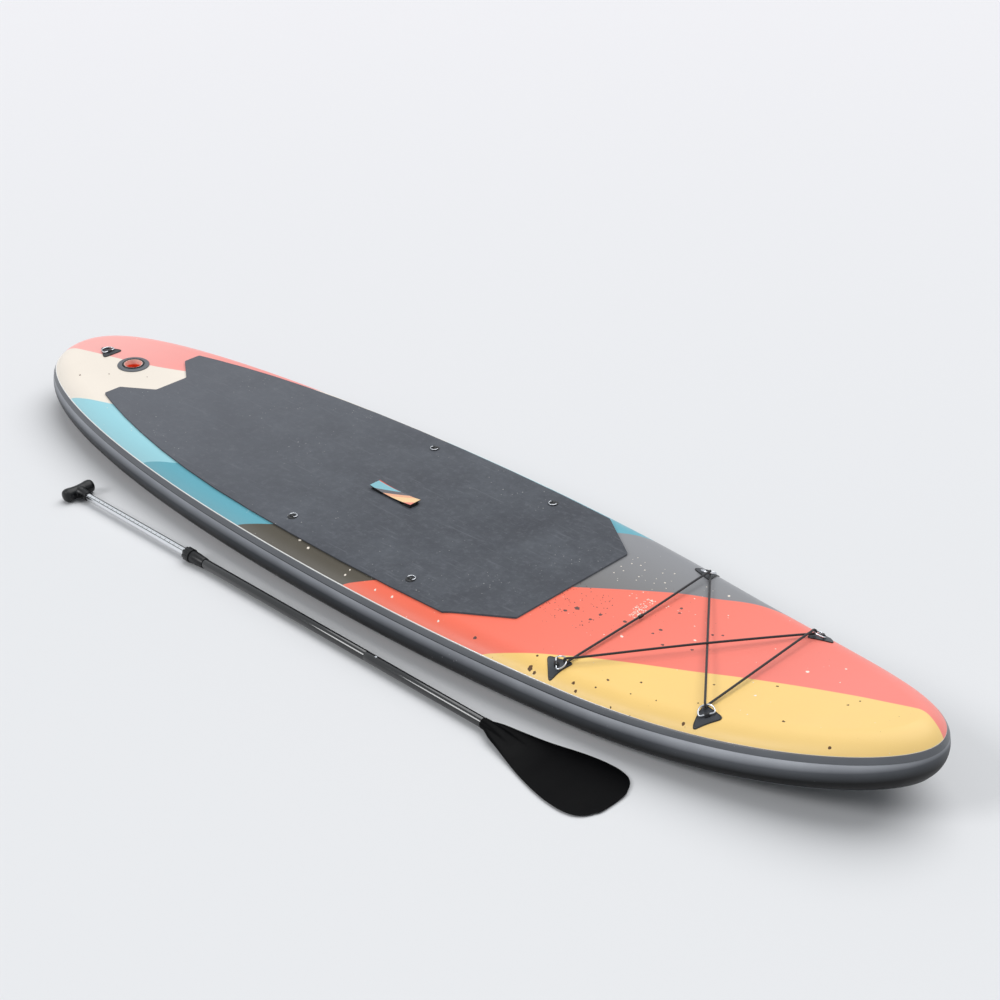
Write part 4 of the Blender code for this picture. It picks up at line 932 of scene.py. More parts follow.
def strapPath():
    # from the front foot, out and round the fold, and back under the sleeve to its middle
    low = handle["anchorTop"] + handle["webbing"]
    reach = handleHalf - handle["footInset"]
    fold = reach + handle["footInset"] * 0.45
    top = sleeveBottom(fold) - gap - handle["webbing"]
    half = [(reach - handle["footLength"], low), (reach, low)]
    for angle in spread(0.0, pi, 12)[1:-1]:
        half.append((reach + (fold - reach) * sin(angle), (low + top) / 2 - (top - low) / 2 * cos(angle)))
    half += [(offset, sleeveBottom(offset) - gap - handle["webbing"]) for offset in spread(reach, 0.0, 10)]
    path = [(-x, z) for x, z in half] + [(x, z) for x, z in half[-2::-1]]
    return [(handle["x"] + x, deckLevel + z) for x, z in path]


makeSleevePrint()
webbingLook = startLook("blackWebbing", specular=0.35, sheen=0.15)
woven = webbingLook.weave(260.0, 170.0, 0.4)
webbingLook.dress(webbingLook.mix(woven, *handle["webbingColors"]), 0.72, woven, 0.3)
thicken(addPiece("handleWebbing", strapMesh(strapPath(), handle["webbingWidth"]), "blackWebbing",
                 node="handle_strap", slot="black_webbing"), handle["webbing"], 1.0, True)
sleevePath = [(handle["x"] + offset, deckLevel + sleeveBottom(offset))
              for offset in spread(-handleHalf, handleHalf, 24)]
sleeve = addPiece("handleSleeve", strapMesh(sleevePath, handle["width"], handle["sleeveDroop"]),
                  "sleevePrint", node="handle_sleeve", slot="handle_print")
thicken(sleeve, handle["thickness"], 1.0, True)
roundEdges(sleeve, handle["sleeveRounding"], 3, 50.0)
print("handle sewn")


# Dried splashes on the deck, as small low drops: (x, y, size), all in mm
splashes = {
    "darkSplashes": ("darkMud", [
        (592, -70, 15), (578, -98, 10), (653, -52, 10), (649, -85, 9), (717, -34, 11), (779, 108, 9),
        (789, 88, 8), (804, -2, 10), (800, -27, 7), (850, -50, 9), (912, 64, 8), (932, 78, 7),
        (917, -21, 8), (490, -327, 9)]),
    "brownSplashes": ("brownMud", [
        (668, -321, 13), (684, -324, 8), (661, -289, 7), (788, -301, 8), (804, -311, 7), (843, -285, 5),
        (852, -252, 8), (917, -209, 7), (927, -258, 4), (991, -243, 4), (904, -301, 4), (957, -295, 3),
        (1085, -259, 8), (1075, -195, 5), (1054, -110, 6), (1175, -30, 7), (1280, -149, 8),
        (1413, -160, 7), (1358, -15, 6), (1371, 13, 5), (-1359, -157, 7), (-1303, -90, 5),
        (-1207, -20, 4)]),
    "paleSplashes": ("palePaint", [
        (754, -89, 9), (895, 17, 8), (673, 172, 5), (829, 234, 8), (1192, 63, 10), (1258, 122, 6),
        (1159, -92, 7), (372, -336, 6), (-156, -324, 9), (-114, -333, 8), (-186, -302, 5),
        (45, -348, 6), (46, -332, 5), (154, -345, 6), (211, -340, 7)]),
}
# Random ones: the piece they join, the two corners of their field, how many, and their sizes in mm
scatter = {
    "seed": 7,
    "padRoom": 0.012,
    "edgeRoom": 0.03,
    "fields": [
        ("paleSplashes", (0.702, -0.006), (0.732, 0.040), 60, (1.2, 4.6)),  # a pale scuff by the net
        ("paleSplashes", (0.690, 0.024), (0.714, 0.088), 60, (1.2, 4.2)),
        ("darkSplashes", (0.47, -0.14), (0.66, 0.03), 110, (1.2, 3.6)),
        ("paleSplashes", (-1.45, -0.26), (1.40, 0.24), 110, (1.4, 4.0)),
        ("paleSplashes", (0.53, 0.06), (0.80, 0.23), 34, (1.6, 4.6)),
    ],
}


def dropBuild(x, y, size, chance):
    # an uneven flat drop with a raised edge, laid on the deck
    steps = 18
    turn = chance.uniform(0, pi)
    lobes = [(count, chance.uniform(0.03, 0.15), chance.uniform(0, 2 * pi)) for count in (2, 3, 5)]
    rows = []
    for share, lift in ((1.0, -0.0002), (1.0, 0.0001), (0.86, 0.0004), (0.6, 0.00022), (0.15, 0.0002)):
        row = []
        for angle in spread(0.0, 2 * pi, steps)[:-1]:
            waves = sum(depth * sin(count * angle + start) for count, depth, start in lobes)
            radius = size / 2000 * (1 + waves) * share
            px, py = x + radius * cos(angle + turn), y + radius * sin(angle + turn) * 0.85
            row.append((px, py, deckHeight(px, py) + lift))
        rows.append(row)
    return gridOf(rows, True, True)


chance = random.Random(scatter["seed"])
drops = {name: [(x / 1000, y / 1000, size) for x, y, size in places]
         for name, (_, places) in splashes.items()}
for name, low, high, count, sizes in scatter["fields"]:
    for _ in range(count):
        x, y = chance.uniform(low[0], high[0]), chance.uniform(low[1], high[1])
        onPad = pad["tail"] < x < pad["front"] and abs(y) < padHalf(x) + scatter["padRoom"]
        if not onPad and abs(y) < halfWidth(x) + scatter["edgeRoom"]:
            drops[name].append((x, y, chance.uniform(*sizes)))
for name, (look, _) in splashes.items():
    addPiece(name, toMesh(joined([dropBuild(*drop, chance) for drop in drops[name]])), look)
print("deck splashed")


# Rings, their webbing loops and the patches under them
rings = {
    "ring": (0.043, 0.030, 0.0040),  # width, depth and wire
    "padRing": (0.024, 0.017, 0.0028),
    "loopWidth": 0.012,
    "loopWall": 0.0016,
    "loopRounding": 0.0003,
    "boreClearance": 0.0004,
    "patchHeight": 0.066,
    "patchBase": 0.076,
    "patchCorner": 0.0171,
    "patchThickness": 0.0026,
    "patchLift": 0.0004,
    "patchOutside": 0.0135,
    "rearPatchX": 0.729,
    "frontPatchX": 1.114,
    "tailPatchX": -1.434,
    "padBaseRadius": 0.0125,
    "padBaseThickness": 0.0015,
    "patchStep": 0.006,
    "loopFoot": 0.0016,
    "padLoopSink": 0.0005,
}
# each ring's bar, then its own turn and its loop's in degrees; the others are twins on the far side
ringPlaces = {
    "nose_ring_1": ((0.71981, -0.28734, 0.15279), (14.517, -22.425, 39.359), (13.613, -10.101, 42.568)),
    "nose_ring_2": ((1.12319, -0.22365, 0.17311), (-16.576, -21.073, 141.109), (-15.796, -12.056, 138.381)),
    "tail_ring": ((-1.421, 0.0, 0.16956), (0.0, -1.665, 180.0), (0.0, -1.664, 180.0)),
    "pad_ring_1": ((-0.252, -0.267724, 0.1588), (0.0, 0.0, 90.0), (0.0, 0.0, 90.0)),
    "pad_ring_3": ((0.203, -0.268532, 0.1588), (0.0, 0.0, 90.0), (0.0, 0.0, 90.0)),
}
ringTwins = {"nose_ring_1": "nose_ring_3", "nose_ring_2": "nose_ring_4", "pad_ring_1": "pad_ring_2",
             "pad_ring_3": "pad_ring_4"}
for near, far in ringTwins.items():
    (x, y, z), *turns = ringPlaces[near]
    ringPlaces[far] = ((x, -y, z), *((-tilt, pitch, -turn) for tilt, pitch, turn in turns))


def pieceName(node):
    first, *rest = node.split("_")
    return first + "".join(word.title() for word in rest)


def ringPoints(width, depth, radius):
    # the bar lies along Y at x = 0, and the bow reaches to +X
    half, bow = width / 2 - radius, depth - 2 * radius
    cut = min(half, bow) * 0.3
    start, corner, end = Vector((0.0, half - cut)), Vector((0.0, half)), Vector((cut, half))
    points = [(0.0, 0.0), (0.0, half - cut)]
    points += [tuple(bend(start, corner, end, t)) for t in (0.25, 0.5, 0.75)]
    points += [(cut + (bow - cut) * sin(angle), half * max(cos(angle), 0.0) ** 0.8)
               for angle in spread(0.0, pi / 2, 14)]
    return [(x, y, 0.0) for x, y in points + [(x, -y) for x, y in points[-2:0:-1]]]


def addLoop(name, pivot, radius, drop):
    # the strap over the bar, seen along the bar: out over the top and back under it
    hole = radius + rings["boreClearance"]
    shell = hole + rings["loopWall"]
    outline = circle(shell, 32)[:17] + [(-shell * 1.15, -drop * 0.6), (-shell * 1.5, -drop),
                                        (shell * 1.9, -drop), (shell * 1.3, -drop * 0.6)]
    data = flatCurve([outline, circle(hole, 24)])
    data.extrude = rings["loopWidth"] / 2
    data.bevel_depth = rings["loopRounding"]
    data.bevel_resolution = 1
    data.offset = -data.bevel_depth
    addPiece(name, data, "rimVinyl", slot="black_patch", matrix=pivot @ Matrix.Rotation(pi / 2, 4, "X"))


def addPatch(node, x, side, turn):
    # a rounded triangle: outer wall, raised rim and a slightly sunken field, laid on the deck
    y = side * (halfWidth(x) + rings["patchOutside"])
    matrix = placed((x, y, 0.0), (0.0, 0.0, turn))
    height, base = rings["patchHeight"], rings["patchBase"]
    corners = [(height / 2, 0.0), (-height / 2, base / 2), (-height / 2, -base / 2)]
    outline = [Vector(point) for point in eased(corners, rings["patchCorner"], 8)]
    filled = []
    for point, following in zip(outline, outline[1:] + outline[:1]):
        steps = max(1, int((following - point).length / rings["patchStep"]))
        filled += [point.lerp(following, k / steps) for k in range(steps)]
    centre = Vector((-height / 6, 0.0))
    rows = []
    for scale, level in ((1.0, 0.0), (1.0, 0.62), (0.985, 0.92), (0.96, 1.05), (0.92, 1.05), (0.89, 0.80),
                         (0.86, 0.70), (0.6, 0.72), (0.3, 0.74), (0.05, 0.74)):
        lift = rings["patchLift"] + rings["patchThickness"] * level
        row = [matrix @ (centre + (point - centre) * scale).to_3d() for point in filled]
        rows.append([(where.x, where.y, deckHeight(where.x, where.y) + lift) for where in row])
    mesh = gridMesh(rows, 50.0, True, True)
    addPiece(pieceName(node), mesh, "patchVinyl", node=node, slot="black_patch")
    mesh.materials.append(looks["rimVinyl"])
    for face in mesh.polygons[:len(filled) * 5]:
        face.material_index = 1


for number, x, side, turn in ((1, rings["rearPatchX"], -1, 45.0), (2, rings["frontPatchX"], -1, 135.0),
                              (3, rings["rearPatchX"], 1, -45.0), (4, rings["frontPatchX"], 1, -135.0)):
    addPatch("nose_patch_" + str(number), x, side, turn)
addPatch("tail_patch", rings["tailPatchX"], 0, 180.0)
for node, (where, turn, loopTurn) in ringPlaces.items():
    name, pivot = pieceName(node), placed(where, loopTurn)
    width, depth, wire = rings["padRing" if node.startswith("pad") else "ring"]
    addWire(name, ringPoints(width, depth, wire / 2), wire / 2, "polishedSteel", closed=True,
            body="board" if node.startswith("nose") else node, node=node, slot="ring_steel",
            matrix=placed(where, turn))
    drop = wire / 2 + rings["loopFoot"]
    if node.startswith("pad"):
        radius, thickness = rings["padBaseRadius"], rings["padBaseThickness"]
        drop = thickness + wire / 2 - rings["padLoopSink"]
        addTurned(name.replace("Ring", "RingBase"),
                  [(0.0, 0.0), (radius, 0.0), (radius, -thickness), (0.0, -thickness)], 0.0006, 40,
                  "rimVinyl", closed=False, node=node.replace("ring", "ring_base"), slot="black_patch",
                  matrix=pivot @ Matrix.Translation((0.0, 0.0, -wire / 2 - gap)))
    addLoop(name.replace("Ring", "Loop"), pivot, wire / 2, drop)
print("rings and patches set")


# The bungee net: one cord through four rings, its ends joined by a sleeve
bungee = {
    "cord": 0.0060,
    "rise": 0.0095,
    "bendFrom": 0.035,  # how far from each bow the cord begins to turn, and where it is level with it
    "bendAt": 0.012,
    "step": 0.010,
    "sleeveLength": 0.016,
    "sleeveRadius": 0.0045,
    "colors": ((42, 44, 49), (17, 18, 21)),
}


def smoothPath(points, spacing):
    # a centripetal curve through the points
    chain = [points[0] * 2 - points[1]] + points + [points[-1] * 2 - points[-2]]
    sampled = []
    for a, b, c, d in zip(chain, chain[1:], chain[2:], chain[3:]):
        times = [0.0]
        for first, second in ((a, b), (b, c), (c, d)):
            times.append(times[-1] + sqrt((second - first).length))
        ta, tb, tc, td = times
        pieces = max(1, ceil((c - b).length / spacing))
        for k in range(pieces):
            t = tb + (tc - tb) * k / pieces
            ab = a.lerp(b, (t - ta) / (tb - ta))
            bc = b.lerp(c, (t - tb) / (tc - tb))
            cd = c.lerp(d, (t - tc) / (td - tc))
            abc, bcd = ab.lerp(bc, (t - ta) / (tc - ta)), bc.lerp(cd, (t - tb) / (td - tb))
            sampled.append(abc.lerp(bcd, (t - tb) / (tc - tb)))
    return sampled + [points[-1]]


def flatWay(start, end):
    return (end - start).to_2d().normalized().to_3d()


def bungeeRoute():
    _, depth, wire = rings["ring"]
    order = [ringPlaces["nose_ring_" + number] for number in "3241"]
    bars = [Vector(where) for where, _, _ in order]
    bows = [placed(where, turn) @ Vector((depth - wire, 0.0, 0.0)) for where, turn, _ in order]
    length, up = Vector((0.0, bungee["sleeveLength"], 0.0)), Vector((0.0, 0.0, 1.0))
    middle = Vector((bows[3].x, 0.0, deckLevel + bungee["rise"]))
    start = middle + length / 2 + Vector((0.0, gap, 0.0))
    finish = middle - length / 2 - Vector((0.0, gap, 0.0))
    stops = [start] + bows + [finish]
    over = up * (bungee["cord"] / 2 + gap)
    radius = ((wire + bungee["cord"]) / 2 + gap) / cos(pi / 8)
    route = [start, start + length]
    for step, (bar, bow) in enumerate(zip(bars, bows)):
        arriving, leaving = flatWay(bow, stops[step]), flatWay(bow, stops[step + 2])
        turn = [bow + arriving * away + up * radius for away in (bungee["bendFrom"], bungee["bendAt"])]
        turn += [bow - flatWay(bar, bow) * radius * sin(angle) + up * radius * cos(angle)
                 for angle in spread(0.0, pi, 4)]
        turn += [bow + leaving * bungee["bendAt"] - up * radius,
                 bow + leaving * bungee["bendFrom"] - up * radius * 0.9]
        if step % 2:  # the two long runs pass one over the other where they cross
            route.append((route[-1] + turn[0]) / 2 + (over if step == 3 else -over))
        route += turn
    return route + [finish - length, finish], middle


cordLook = startLook("cordCover", specular=0.4, sheen=0.2)
braid = cordLook.cells(900.0, 0.35)["Distance"]
cordLook.dress(cordLook.fade(braid, 0.1, 0.7, *bungee["colors"]), 0.66, braid, -0.3)
route, cordMiddle = bungeeRoute()
addWire("bungeeCord", smoothPath(route, bungee["step"]), bungee["cord"] / 2, "cordCover", roundness=3,
        node="bungee_cord", slot="cord_cover")
sleeveEnd, sleeveRadius = bungee["sleeveLength"] / 2, bungee["sleeveRadius"]
addTurned("bungeeSleeve", [(0.0, sleeveEnd), (sleeveRadius, sleeveEnd), (sleeveRadius, -sleeveEnd),
                           (0.0, -sleeveEnd)], 0.0014, 32, "blackPlastic", closed=False,
          node="bungee_ferrule", slot="dark_plastic",
          matrix=Matrix.Translation(cordMiddle) @ Matrix.Rotation(pi / 2, 4, "X"))
print("bungee strung")


# The valve: patch, collar, vented cup, and the stem with its coil spring
edge, high, bore, neck = valve["patchHeight"], valve["collarHeight"], valve["bore"], valve["neck"]
patch, collar, stem = valve["patchRadius"], valve["collarRadius"], valve["stemRadius"]
inner, outer, rim = collar + gap, bore - gap, high - valve["rimDrop"]
cupFloor, neckFoot, stemHole = -valve["cupDepth"], valve["neckFoot"], stem + valve["stemRoom"]
cupFoot, wall = cupFloor - valve["cupFloor"], outer - valve["cupWall"]
addTurned("valveFlange", [(inner, edge), (patch - edge * 1.2, edge), (patch - edge * 0.45, edge * 0.82),
                          (patch - edge * 0.1, edge * 0.45), (patch, gap), (inner, gap)], 0.0005, 96,
          "greyPlastic", node="valve_patch", slot="grey_plastic", matrix=valveSeat)
addTurned("valveCollar", [(bore + 0.0010, high), (collar - 0.0015, high), (collar, high - 0.0020),
                          (collar, gap), (neck, gap), (neck, neckFoot), (bore, neckFoot),
                          (bore, high - 0.0010)], 0.0006, 96,
          "blackPlastic", node="valve_collar", slot="dark_plastic", matrix=valveSeat)
vents = [(valve["ventRadius"], cupFloor - 0.004, cupFloor + 0.002, Matrix.Translation((x, y, 0.0)), 32)
         for x, y in circle(valve["ventReach"], valve["vents"], 0.5)]
addTurned("valveCup", [(wall, rim), (outer, rim), (outer, cupFoot), (stemHole, cupFoot),
                       (stemHole, cupFloor), (wall, cupFloor)], 0.0005, 96, "cupPlastic", holes=vents,
          node="valve_cup", slot="orange_plastic", matrix=valveSeat)
head, headRadius = valve["headLevel"], valve["headRadius"]
headFoot, stemFoot = head - valve["headThickness"], cupFoot - gap
addTurned("valveStem", [(0.0, head), (headRadius, head), (headRadius, headFoot), (stem, headFoot),
                        (stem, stemFoot), (0.0, stemFoot)], 0.0005, 40, "orangePlastic", closed=False,
          body="valve_plunger", node="valve_stem", slot="orange_plastic", matrix=valveSeat)
wire = valve["springWire"]
coilRadius = stem + wire / 2 + 2 * valve["springGap"]
coilFoot, coilHead = cupFloor + wire / 2 + gap, headFoot - wire / 2 - gap
coil = []
for share in spread(0.0, 1.0, 84):
    angle = 2 * pi * valve["springTurns"] * share
    rise = min(max((share - 0.11) / 0.78, 0.0), 1.0)  # flat end turns
    coil.append(valveSeat @ Vector((coilRadius * cos(angle), coilRadius * sin(angle),
                                    coilFoot + (coilHead - coilFoot) * rise)))
addSpring("valveSpring", sweptMesh(coil, circle(wire / 2, 10)),
          "valve_spring")
print("valve turned")


# The paddle, along X beside the near rail
paddle = {
    "y": -0.447,
    "z": 0.0205,
    "button": 0.2615,
    "buttonHole": 0.0042,
    "leafLength": 0.030,
    "leafWidth": 0.0060,
    "leafThickness": 0.0006,
    "leafTop": 0.00641,
    "leafFoot": -0.00952,
    "leafStep": 0.0015,
    "seam": 0.2265,
    "lock": -0.4655,
    "throat": 0.6335,
    "upperEnd": -0.9650,
    "insertion": 0.240,
    "tube": 0.0135,
    "tubeWall": 0.0014,
    "upper": 0.0110,
    "upperWall": 0.0011,
    "gripWidth": 0.101,
    "gripRadius": 0.0198,
    "gripWaist": 0.0172,
    "gripGrain": 0.0011,
    "neckLength": 0.050,
    "neckWall": 0.0030,
    "nutLength": 0.026,
    "nutRadius": 0.0196,
    "nutMouth": 0.0153,
    "nutLip": 0.0032,
    "nutLugs": 8,
    "grooveDepth": 0.0022,
    "sleeve": 0.0172,
    "sleeveLength": 0.054,
    "bladeLength": 0.412,
    "bladeWidth": 0.206,
    "bladeDrop": 0.0152,
    "bladeEdge": 0.0026,
    "ribHalf": 0.017,
    "ribDepth": 0.0085,
    "bladeOutline": ((0.0, 0.131), (0.04, 0.17), (0.10, 0.29), (0.19, 0.40), (0.33, 0.58), (0.47, 0.76),
                     (0.62, 0.915), (0.73, 0.985), (0.81, 1.0), (0.885, 0.95), (0.94, 0.82), (0.98, 0.56),
                     (1.0, 0.24)),
    "tubeColors": ((222, 224, 227), (246, 247, 248)),
    # the printed scale: how far off the top its marks and its line lie and half their width
    "marks": (0.0050, 0.0026),
    "rule": (0.0076, 0.0006),
    "marksPerMetre": 50.0,
    "markColor": (128, 130, 134),
    "ruleColor": (40, 42, 46),
}
paddleAxis = placed((0.0, paddle["y"], paddle["z"]), (0.0, 90.0, 0.0))


def makeTubeAlloy():
    # anodised tube with a printed length scale: one line along it and fine marks above the line
    look = startLook("anodisedTube", metallic=1.0)
    marks = look.below(look.calc("FRACT", look.times(look.part("Z"), paddle["marksPerMetre"])), 0.07)
    above = look.below(look.part("X"), 0.0)
    wide, rule = (look.below(look.calc("ABSOLUTE", look.calc("ADD", look.part("Y"), place)), half)
                  for place, half in (paddle["marks"], paddle["rule"]))
    brushed = look.noise(1.0, 2.0, where=look.moved(Scale=(400.0, 400.0, 6.0)))
    tone = look.mix(brushed, *paddle["tubeColors"])
    tone = look.mix(look.times(look.times(marks, wide), above), tone, paddle["markColor"])
    tone = look.mix(look.times(rule, above), tone, paddle["ruleColor"])
    look.dress(tone, look.ramp(brushed, 0.2, 0.8, 0.13, 0.22), brushed, 0.04)


def addTube(name, low, high, radius, wall, look, body, node, slot, holes=()):
    outside = [(radius, high), (radius, low)]
    if holes:  # rings close beside the button's hole keep the wall round there
        near = paddle["buttonHole"] + 0.0006
        outside[1:1] = [(radius, paddle["button"] + near), (radius, paddle["button"] - near)]
    addTurned(name, [(radius - wall, high), *outside, (radius - wall, low)], 0.0004, 96 if holes else 48,
              look, holes=holes, body=body, node=node, slot=slot, matrix=paddleAxis)


def gripBuild():
    # the bar across the top and the neck down the tube
    end, neckRadius = paddle["upperEnd"], paddle["upper"] + paddle["neckWall"]
    half, radius, waist = paddle["gripWidth"] / 2, paddle["gripRadius"], paddle["gripWaist"]
    centre, foot = end - waist - 2 * paddle["neckWall"], end + paddle["neckLength"] / 2
    profile = [(radius * sin(angle) * 0.93, half - radius * 0.42 * (1 - cos(angle)))
               for angle in spread(0.0, pi / 2, 6)]
    profile += [(radius, half * 0.74), (radius * 0.985, half * 0.55), (waist * 1.03, half * 0.3),
                (waist, 0.0)]
    profile += [(r, -h) for r, h in reversed(profile[:-1])]
    bar = gridOf(turnedRows(profile, 48), True)
    across = Matrix.Translation((0.0, 0.0, centre)) @ Matrix.Rotation(pi / 2, 4, "X")
    bmesh.ops.transform(bar, matrix=across, verts=bar.verts)
    neck = [(0.0, foot), (neckRadius - 0.0006, foot), (neckRadius, foot - 0.0006),
            (neckRadius + 0.0004, end + 0.010), (neckRadius + 0.0015, end),
            (neckRadius + 0.0040, centre + waist * 0.75), (neckRadius + 0.0020, centre), (0.0, centre)]
    return joined([bar, gridOf(turnedRows(neck, 48), True)])


def nutMesh():
    # a ring whose outside is drawn in at each groove
    lock, low = paddle["lock"], paddle["lock"] - paddle["nutLength"]
    bore, mouth, lip, perLug = paddle["upper"] + 2 * gap, paddle["nutMouth"], low + paddle["nutLip"], 14
    steps = paddle["nutLugs"] * perLug
    rows = []
    for level, inset in ((low, -0.0020), (low + 0.0006, -0.0008), (low + 0.002, 0.0), (lock - 0.006, 0.0),
                         (lock - 0.0052, 0.0), (lock - 0.0010, 0.0), (lock, -0.0010)):
        depth = paddle["grooveDepth"] if level < lock - 0.0055 else 0.0
        row = []
        for i, (x, y) in enumerate(circle(1.0, steps)):
            share = max(-cos(2 * pi * i / perLug), 0.0)
            radius = paddle["nutRadius"] + inset - depth * share ** 0.7
            row.append((radius * x, radius * y, level))
        rows.append(row)
    rows += turnedRows([(mouth, lock), (mouth, lip), (bore, lip), (bore, low)], steps)
    return gridMesh(rows + rows[:1], 35.0, True)


def valueAlong(pairs, share):
    # a smooth value between pairs of (place, value), by a monotone curve
    places, values = zip(*pairs)
    slopes = [(b - a) / (q - p) for p, q, a, b in zip(places, places[1:], values, values[1:])]
    tangents = [slopes[0]]
    for left, right in zip(slopes, slopes[1:]):
        tangents.append(0.0 if left * right <= 0 else 2 * left * right / (left + right))
    tangents.append(slopes[-1])
    i = next((i for i, place in enumerate(places[1:]) if share <= place), len(places) - 2)
    width = places[i + 1] - places[i]
    t = min(max((share - places[i]) / width, 0.0), 1.0)
    return (values[i] * (1 + 2 * t) * (1 - t) ** 2 + tangents[i] * width * t * (1 - t) ** 2
            + values[i + 1] * t ** 2 * (3 - 2 * t) + tangents[i + 1] * width * t ** 2 * (t - 1))


def bladeMesh():
    # from the round throat to a blade with a smooth face and a rib down its back
    rows, count, tube, tipFrom = [], 56, paddle["tube"], 0.985
    for i in range(count + 1):
        share = sin(pi / 2 * i / count) ** 0.9
        half = valueAlong(paddle["bladeOutline"], min(share, tipFrom)) * paddle["bladeWidth"] / 2
        if share > tipFrom:
            half *= 0.45 + 0.55 * sqrt(max(1 - ((share - tipFrom) / (1 - tipFrom)) ** 2, 0.0))
        fade = min(share / 0.45, 1.0)
        ease = fade * fade * (3 - 2 * fade)
        rib = min(tube * (1 - ease) + paddle["ribHalf"] * ease, half * 0.9)
        centre = 2 * tube * (1 - ease) + paddle["ribDepth"] * ease * (1 - 0.45 * share)
        drop, z = paddle["bladeDrop"] * ease, share * paddle["bladeLength"]
        rim = min(paddle["bladeEdge"] + (1 - fade) * 0.010, centre)
        across = spread(half, rib, 6)[:-1] + spread(rib, 0.0, 6)
        across += [-y for y in reversed(across[:-1])]
        top, under = [], []
        for y in across:
            bulge = (centre - rim) * sqrt(max(1 - min(abs(y) / rib, 1.0) ** 2, 0.0))
            thin = rim * (0.35 + 0.65 * sqrt(max(1 - min(abs(y) / half, 1.0) ** 8, 0.0)))
            top.append((drop - (thin + bulge * (1 - ease) ** 1.5) / 2, y, z))
            under.append((drop + (thin + bulge) / 2, y, z))
        rows.append(top + under[::-1])
    return gridMesh(rows, 60.0, True, True)


makeTubeAlloy()
lock, seam, button, upperEnd = paddle["lock"], paddle["seam"], paddle["button"], paddle["upperEnd"]
tube, tubeWall, collet = paddle["tube"], paddle["tubeWall"], paddle["tube"] + gap
addTube("upperTube", upperEnd, lock + paddle["insertion"], paddle["upper"], paddle["upperWall"],
        "anodisedTube", "upper", "upper_shaft", "anodised_tube")
addTube("middleTube", lock + 2 * gap, seam - gap / 2, tube, tubeWall, "blackTube", "paddle",
        "middle_shaft", "black_tube")
grip = addPiece("paddleGrip", toMesh(gripBuild()), "blackPlastic", body="upper", node="paddle_grip",
                slot="dark_plastic", matrix=paddleAxis)
oneBody = grip.modifiers.new("oneBody", "REMESH")
oneBody.mode = "VOXEL"
oneBody.voxel_size = paddle["gripGrain"]
oneBody.use_smooth_shade = True
soften = grip.modifiers.new("soften", "SMOOTH")
soften.iterations = 6
soften.factor = 0.6
addPiece("lockNut", nutMesh(), "blackPlastic", body="lock_nut", node="lock_nut", slot="black_tube",
         matrix=paddleAxis)
end, sleeve, spigot = lock + paddle["sleeveLength"], paddle["sleeve"], lock - paddle["nutLength"] + 0.0035
addTurned("lockSleeve", [(collet, end), (tube + 0.0012, end),
                         (sleeve - 0.0004, lock + paddle["sleeveLength"] * 0.42),
                         (sleeve, lock + paddle["sleeveLength"] * 0.30), (sleeve, lock + gap),
                         (0.0150, lock + gap), (0.0150, spigot), (0.0130, spigot), (0.0130, lock),
                         (collet, lock)], 0.0006, 64, "blackPlastic", body="paddle", node="lock_sleeve",
          slot="black_tube", matrix=paddleAxis)

# the lower tube has the hole of the sprung button, and the button's leaf spring is folded inside it
buttonWay = placed((0.0, 0.0, button), (0.0, -90.0, 0.0))
addTube("lowerTube", seam + gap / 2, paddle["throat"], tube, tubeWall, "blackTube", "paddle",
        "lower_shaft", "black_tube", [(paddle["buttonHole"], 0.004, 0.0207, buttonWay, 32)])
thin, reach = paddle["leafThickness"] / 2, paddle["leafLength"]
leafTop, leafFoot, leafHalf = paddle["leafTop"] - thin, paddle["leafFoot"] + thin, paddle["leafWidth"] / 2
leafPath = [(0.2, 0.0), (-0.2, 0.0), (-0.7, 0.25), (-0.78, 0.5), (-0.7, 0.75), (-0.2, 1.0), (0.2, 1.0)]
leafPoints = [Vector((button + reach * x, paddle["y"], paddle["z"] + leafTop + (leafFoot - leafTop) * fall))
              for x, fall in leafPath]
leafSection = [(leafHalf, thin), (-leafHalf, thin), (-leafHalf, -thin), (leafHalf, -thin)]
addSpring("buttonSpring", sweptMesh(smoothPath(leafPoints, paddle["leafStep"]), leafSection, 40.0),
          "button_spring")
addPiece("paddleBlade", bladeMesh(), "bladeNylon", body="paddle", node="blade", slot="black_nylon",
         matrix=paddleAxis @ Matrix.Translation((0.0, 0.0, paddle["throat"] + gap)))
print("paddle built")


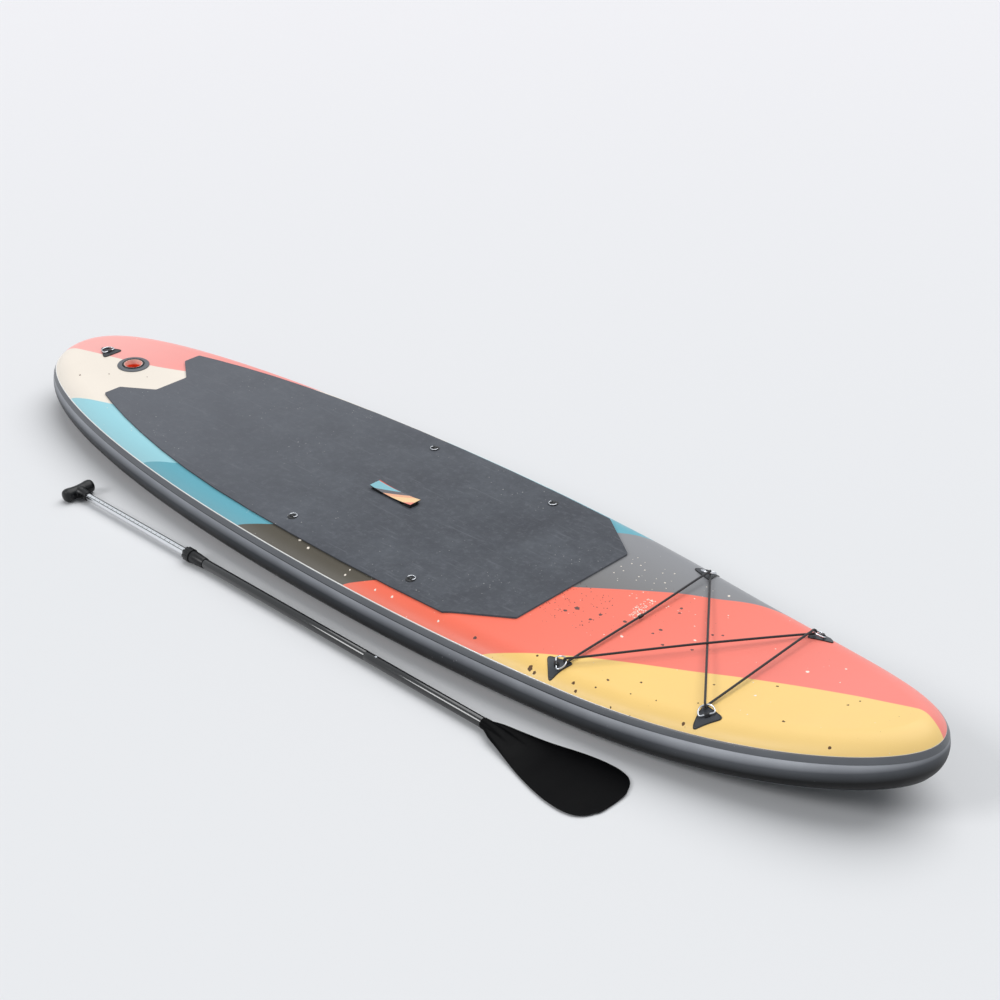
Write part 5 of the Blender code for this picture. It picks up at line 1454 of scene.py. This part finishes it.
# CAD nodes that stay in view get the finish of their kind
keptNodes = {
    "handle_anchor_front": "patchVinyl",
    "handle_anchor_rear": "patchVinyl",
    "valve_nut": "blackPlastic",
    "valve_poppet": "sealRubber",
    "fin_base": "blackPlastic",
    "lock_collet": "greyPlastic",
    "joint_ferrule": "springSteel",
    "snap_button": "polishedSteel",
}
for name, look in keptNodes.items():
    slots = nodes[name].data.materials
    for i in range(len(slots)):
        slots[i] = looks[look]
print("kept nodes finished")


# Plain pale studio
studio = {
    "floorSize": 600.0,
    "floorDrop": 0.0005,
    "floorNear": (229, 230, 232),
    "floorFar": (237, 236, 239),
    "world": (0.93, 0.965, 1.0),
    "worldStrength": 0.33,
    "backdropStrength": 0.84,
    "lampHeight": 4.0,
    # each lamp's tilt about X and then Y in degrees, its spread in degrees and its strength
    "overheadLamp": (-25.0, 1.0, 64.0, 1.92),
    "keyLamp": (46.0, -31.0, 22.0, 0.96),
}
floorLook = startLook("studioFloor", roughness=0.9, specular=0.2)
farAway = floorLook.minus(floorLook.times(floorLook.part("Y"), 0.72),
                          floorLook.times(floorLook.part("X"), 0.69))
floorLook.put(floorLook.sockets["Base Color"],
              floorLook.fade(farAway, 0.0, 6.0, studio["floorNear"], studio["floorFar"]))
build = bmesh.new()
bmesh.ops.create_grid(build, x_segments=1, y_segments=1, size=studio["floorSize"] / 2)
floorMesh = toMesh(build)
floorMesh.materials.append(looks["studioFloor"])
addObject("studioFloor", floorMesh, Matrix.Translation((0.0, 0.0, -studio["floorDrop"])))

# the backdrop that camera, gloss and glass see is brighter than the light that the world gives
scene.world = bpy.data.worlds.new("studioWorld")
sky = Shading(scene.world)
background = sky.tree.nodes["Background"].inputs
path = sky.add("LightPath").outputs
seen = sky.calc("ADD", path["Is Camera Ray"], path["Is Glossy Ray"], True)
seen = sky.calc("ADD", seen, path["Is Transmission Ray"], True)
sky.put(background["Color"], (*studio["world"], 1.0))
sky.put(background["Strength"], sky.ramp(seen, 0.0, 1.0, studio["worldStrength"], studio["backdropStrength"]))
for name in ("overheadLamp", "keyLamp"):
    tiltX, tiltY, spreadAngle, strength = studio[name]
    sun = bpy.data.lights.new(name, "SUN")
    sun.angle = radians(spreadAngle)
    sun.energy = strength
    lamp = addObject(name, sun, Matrix.Translation((0.0, 0.0, studio["lampHeight"])))
    lamp.rotation_euler = (radians(tiltX), radians(tiltY), 0)
scene.view_settings.view_transform = "Standard"
print("studio lit")
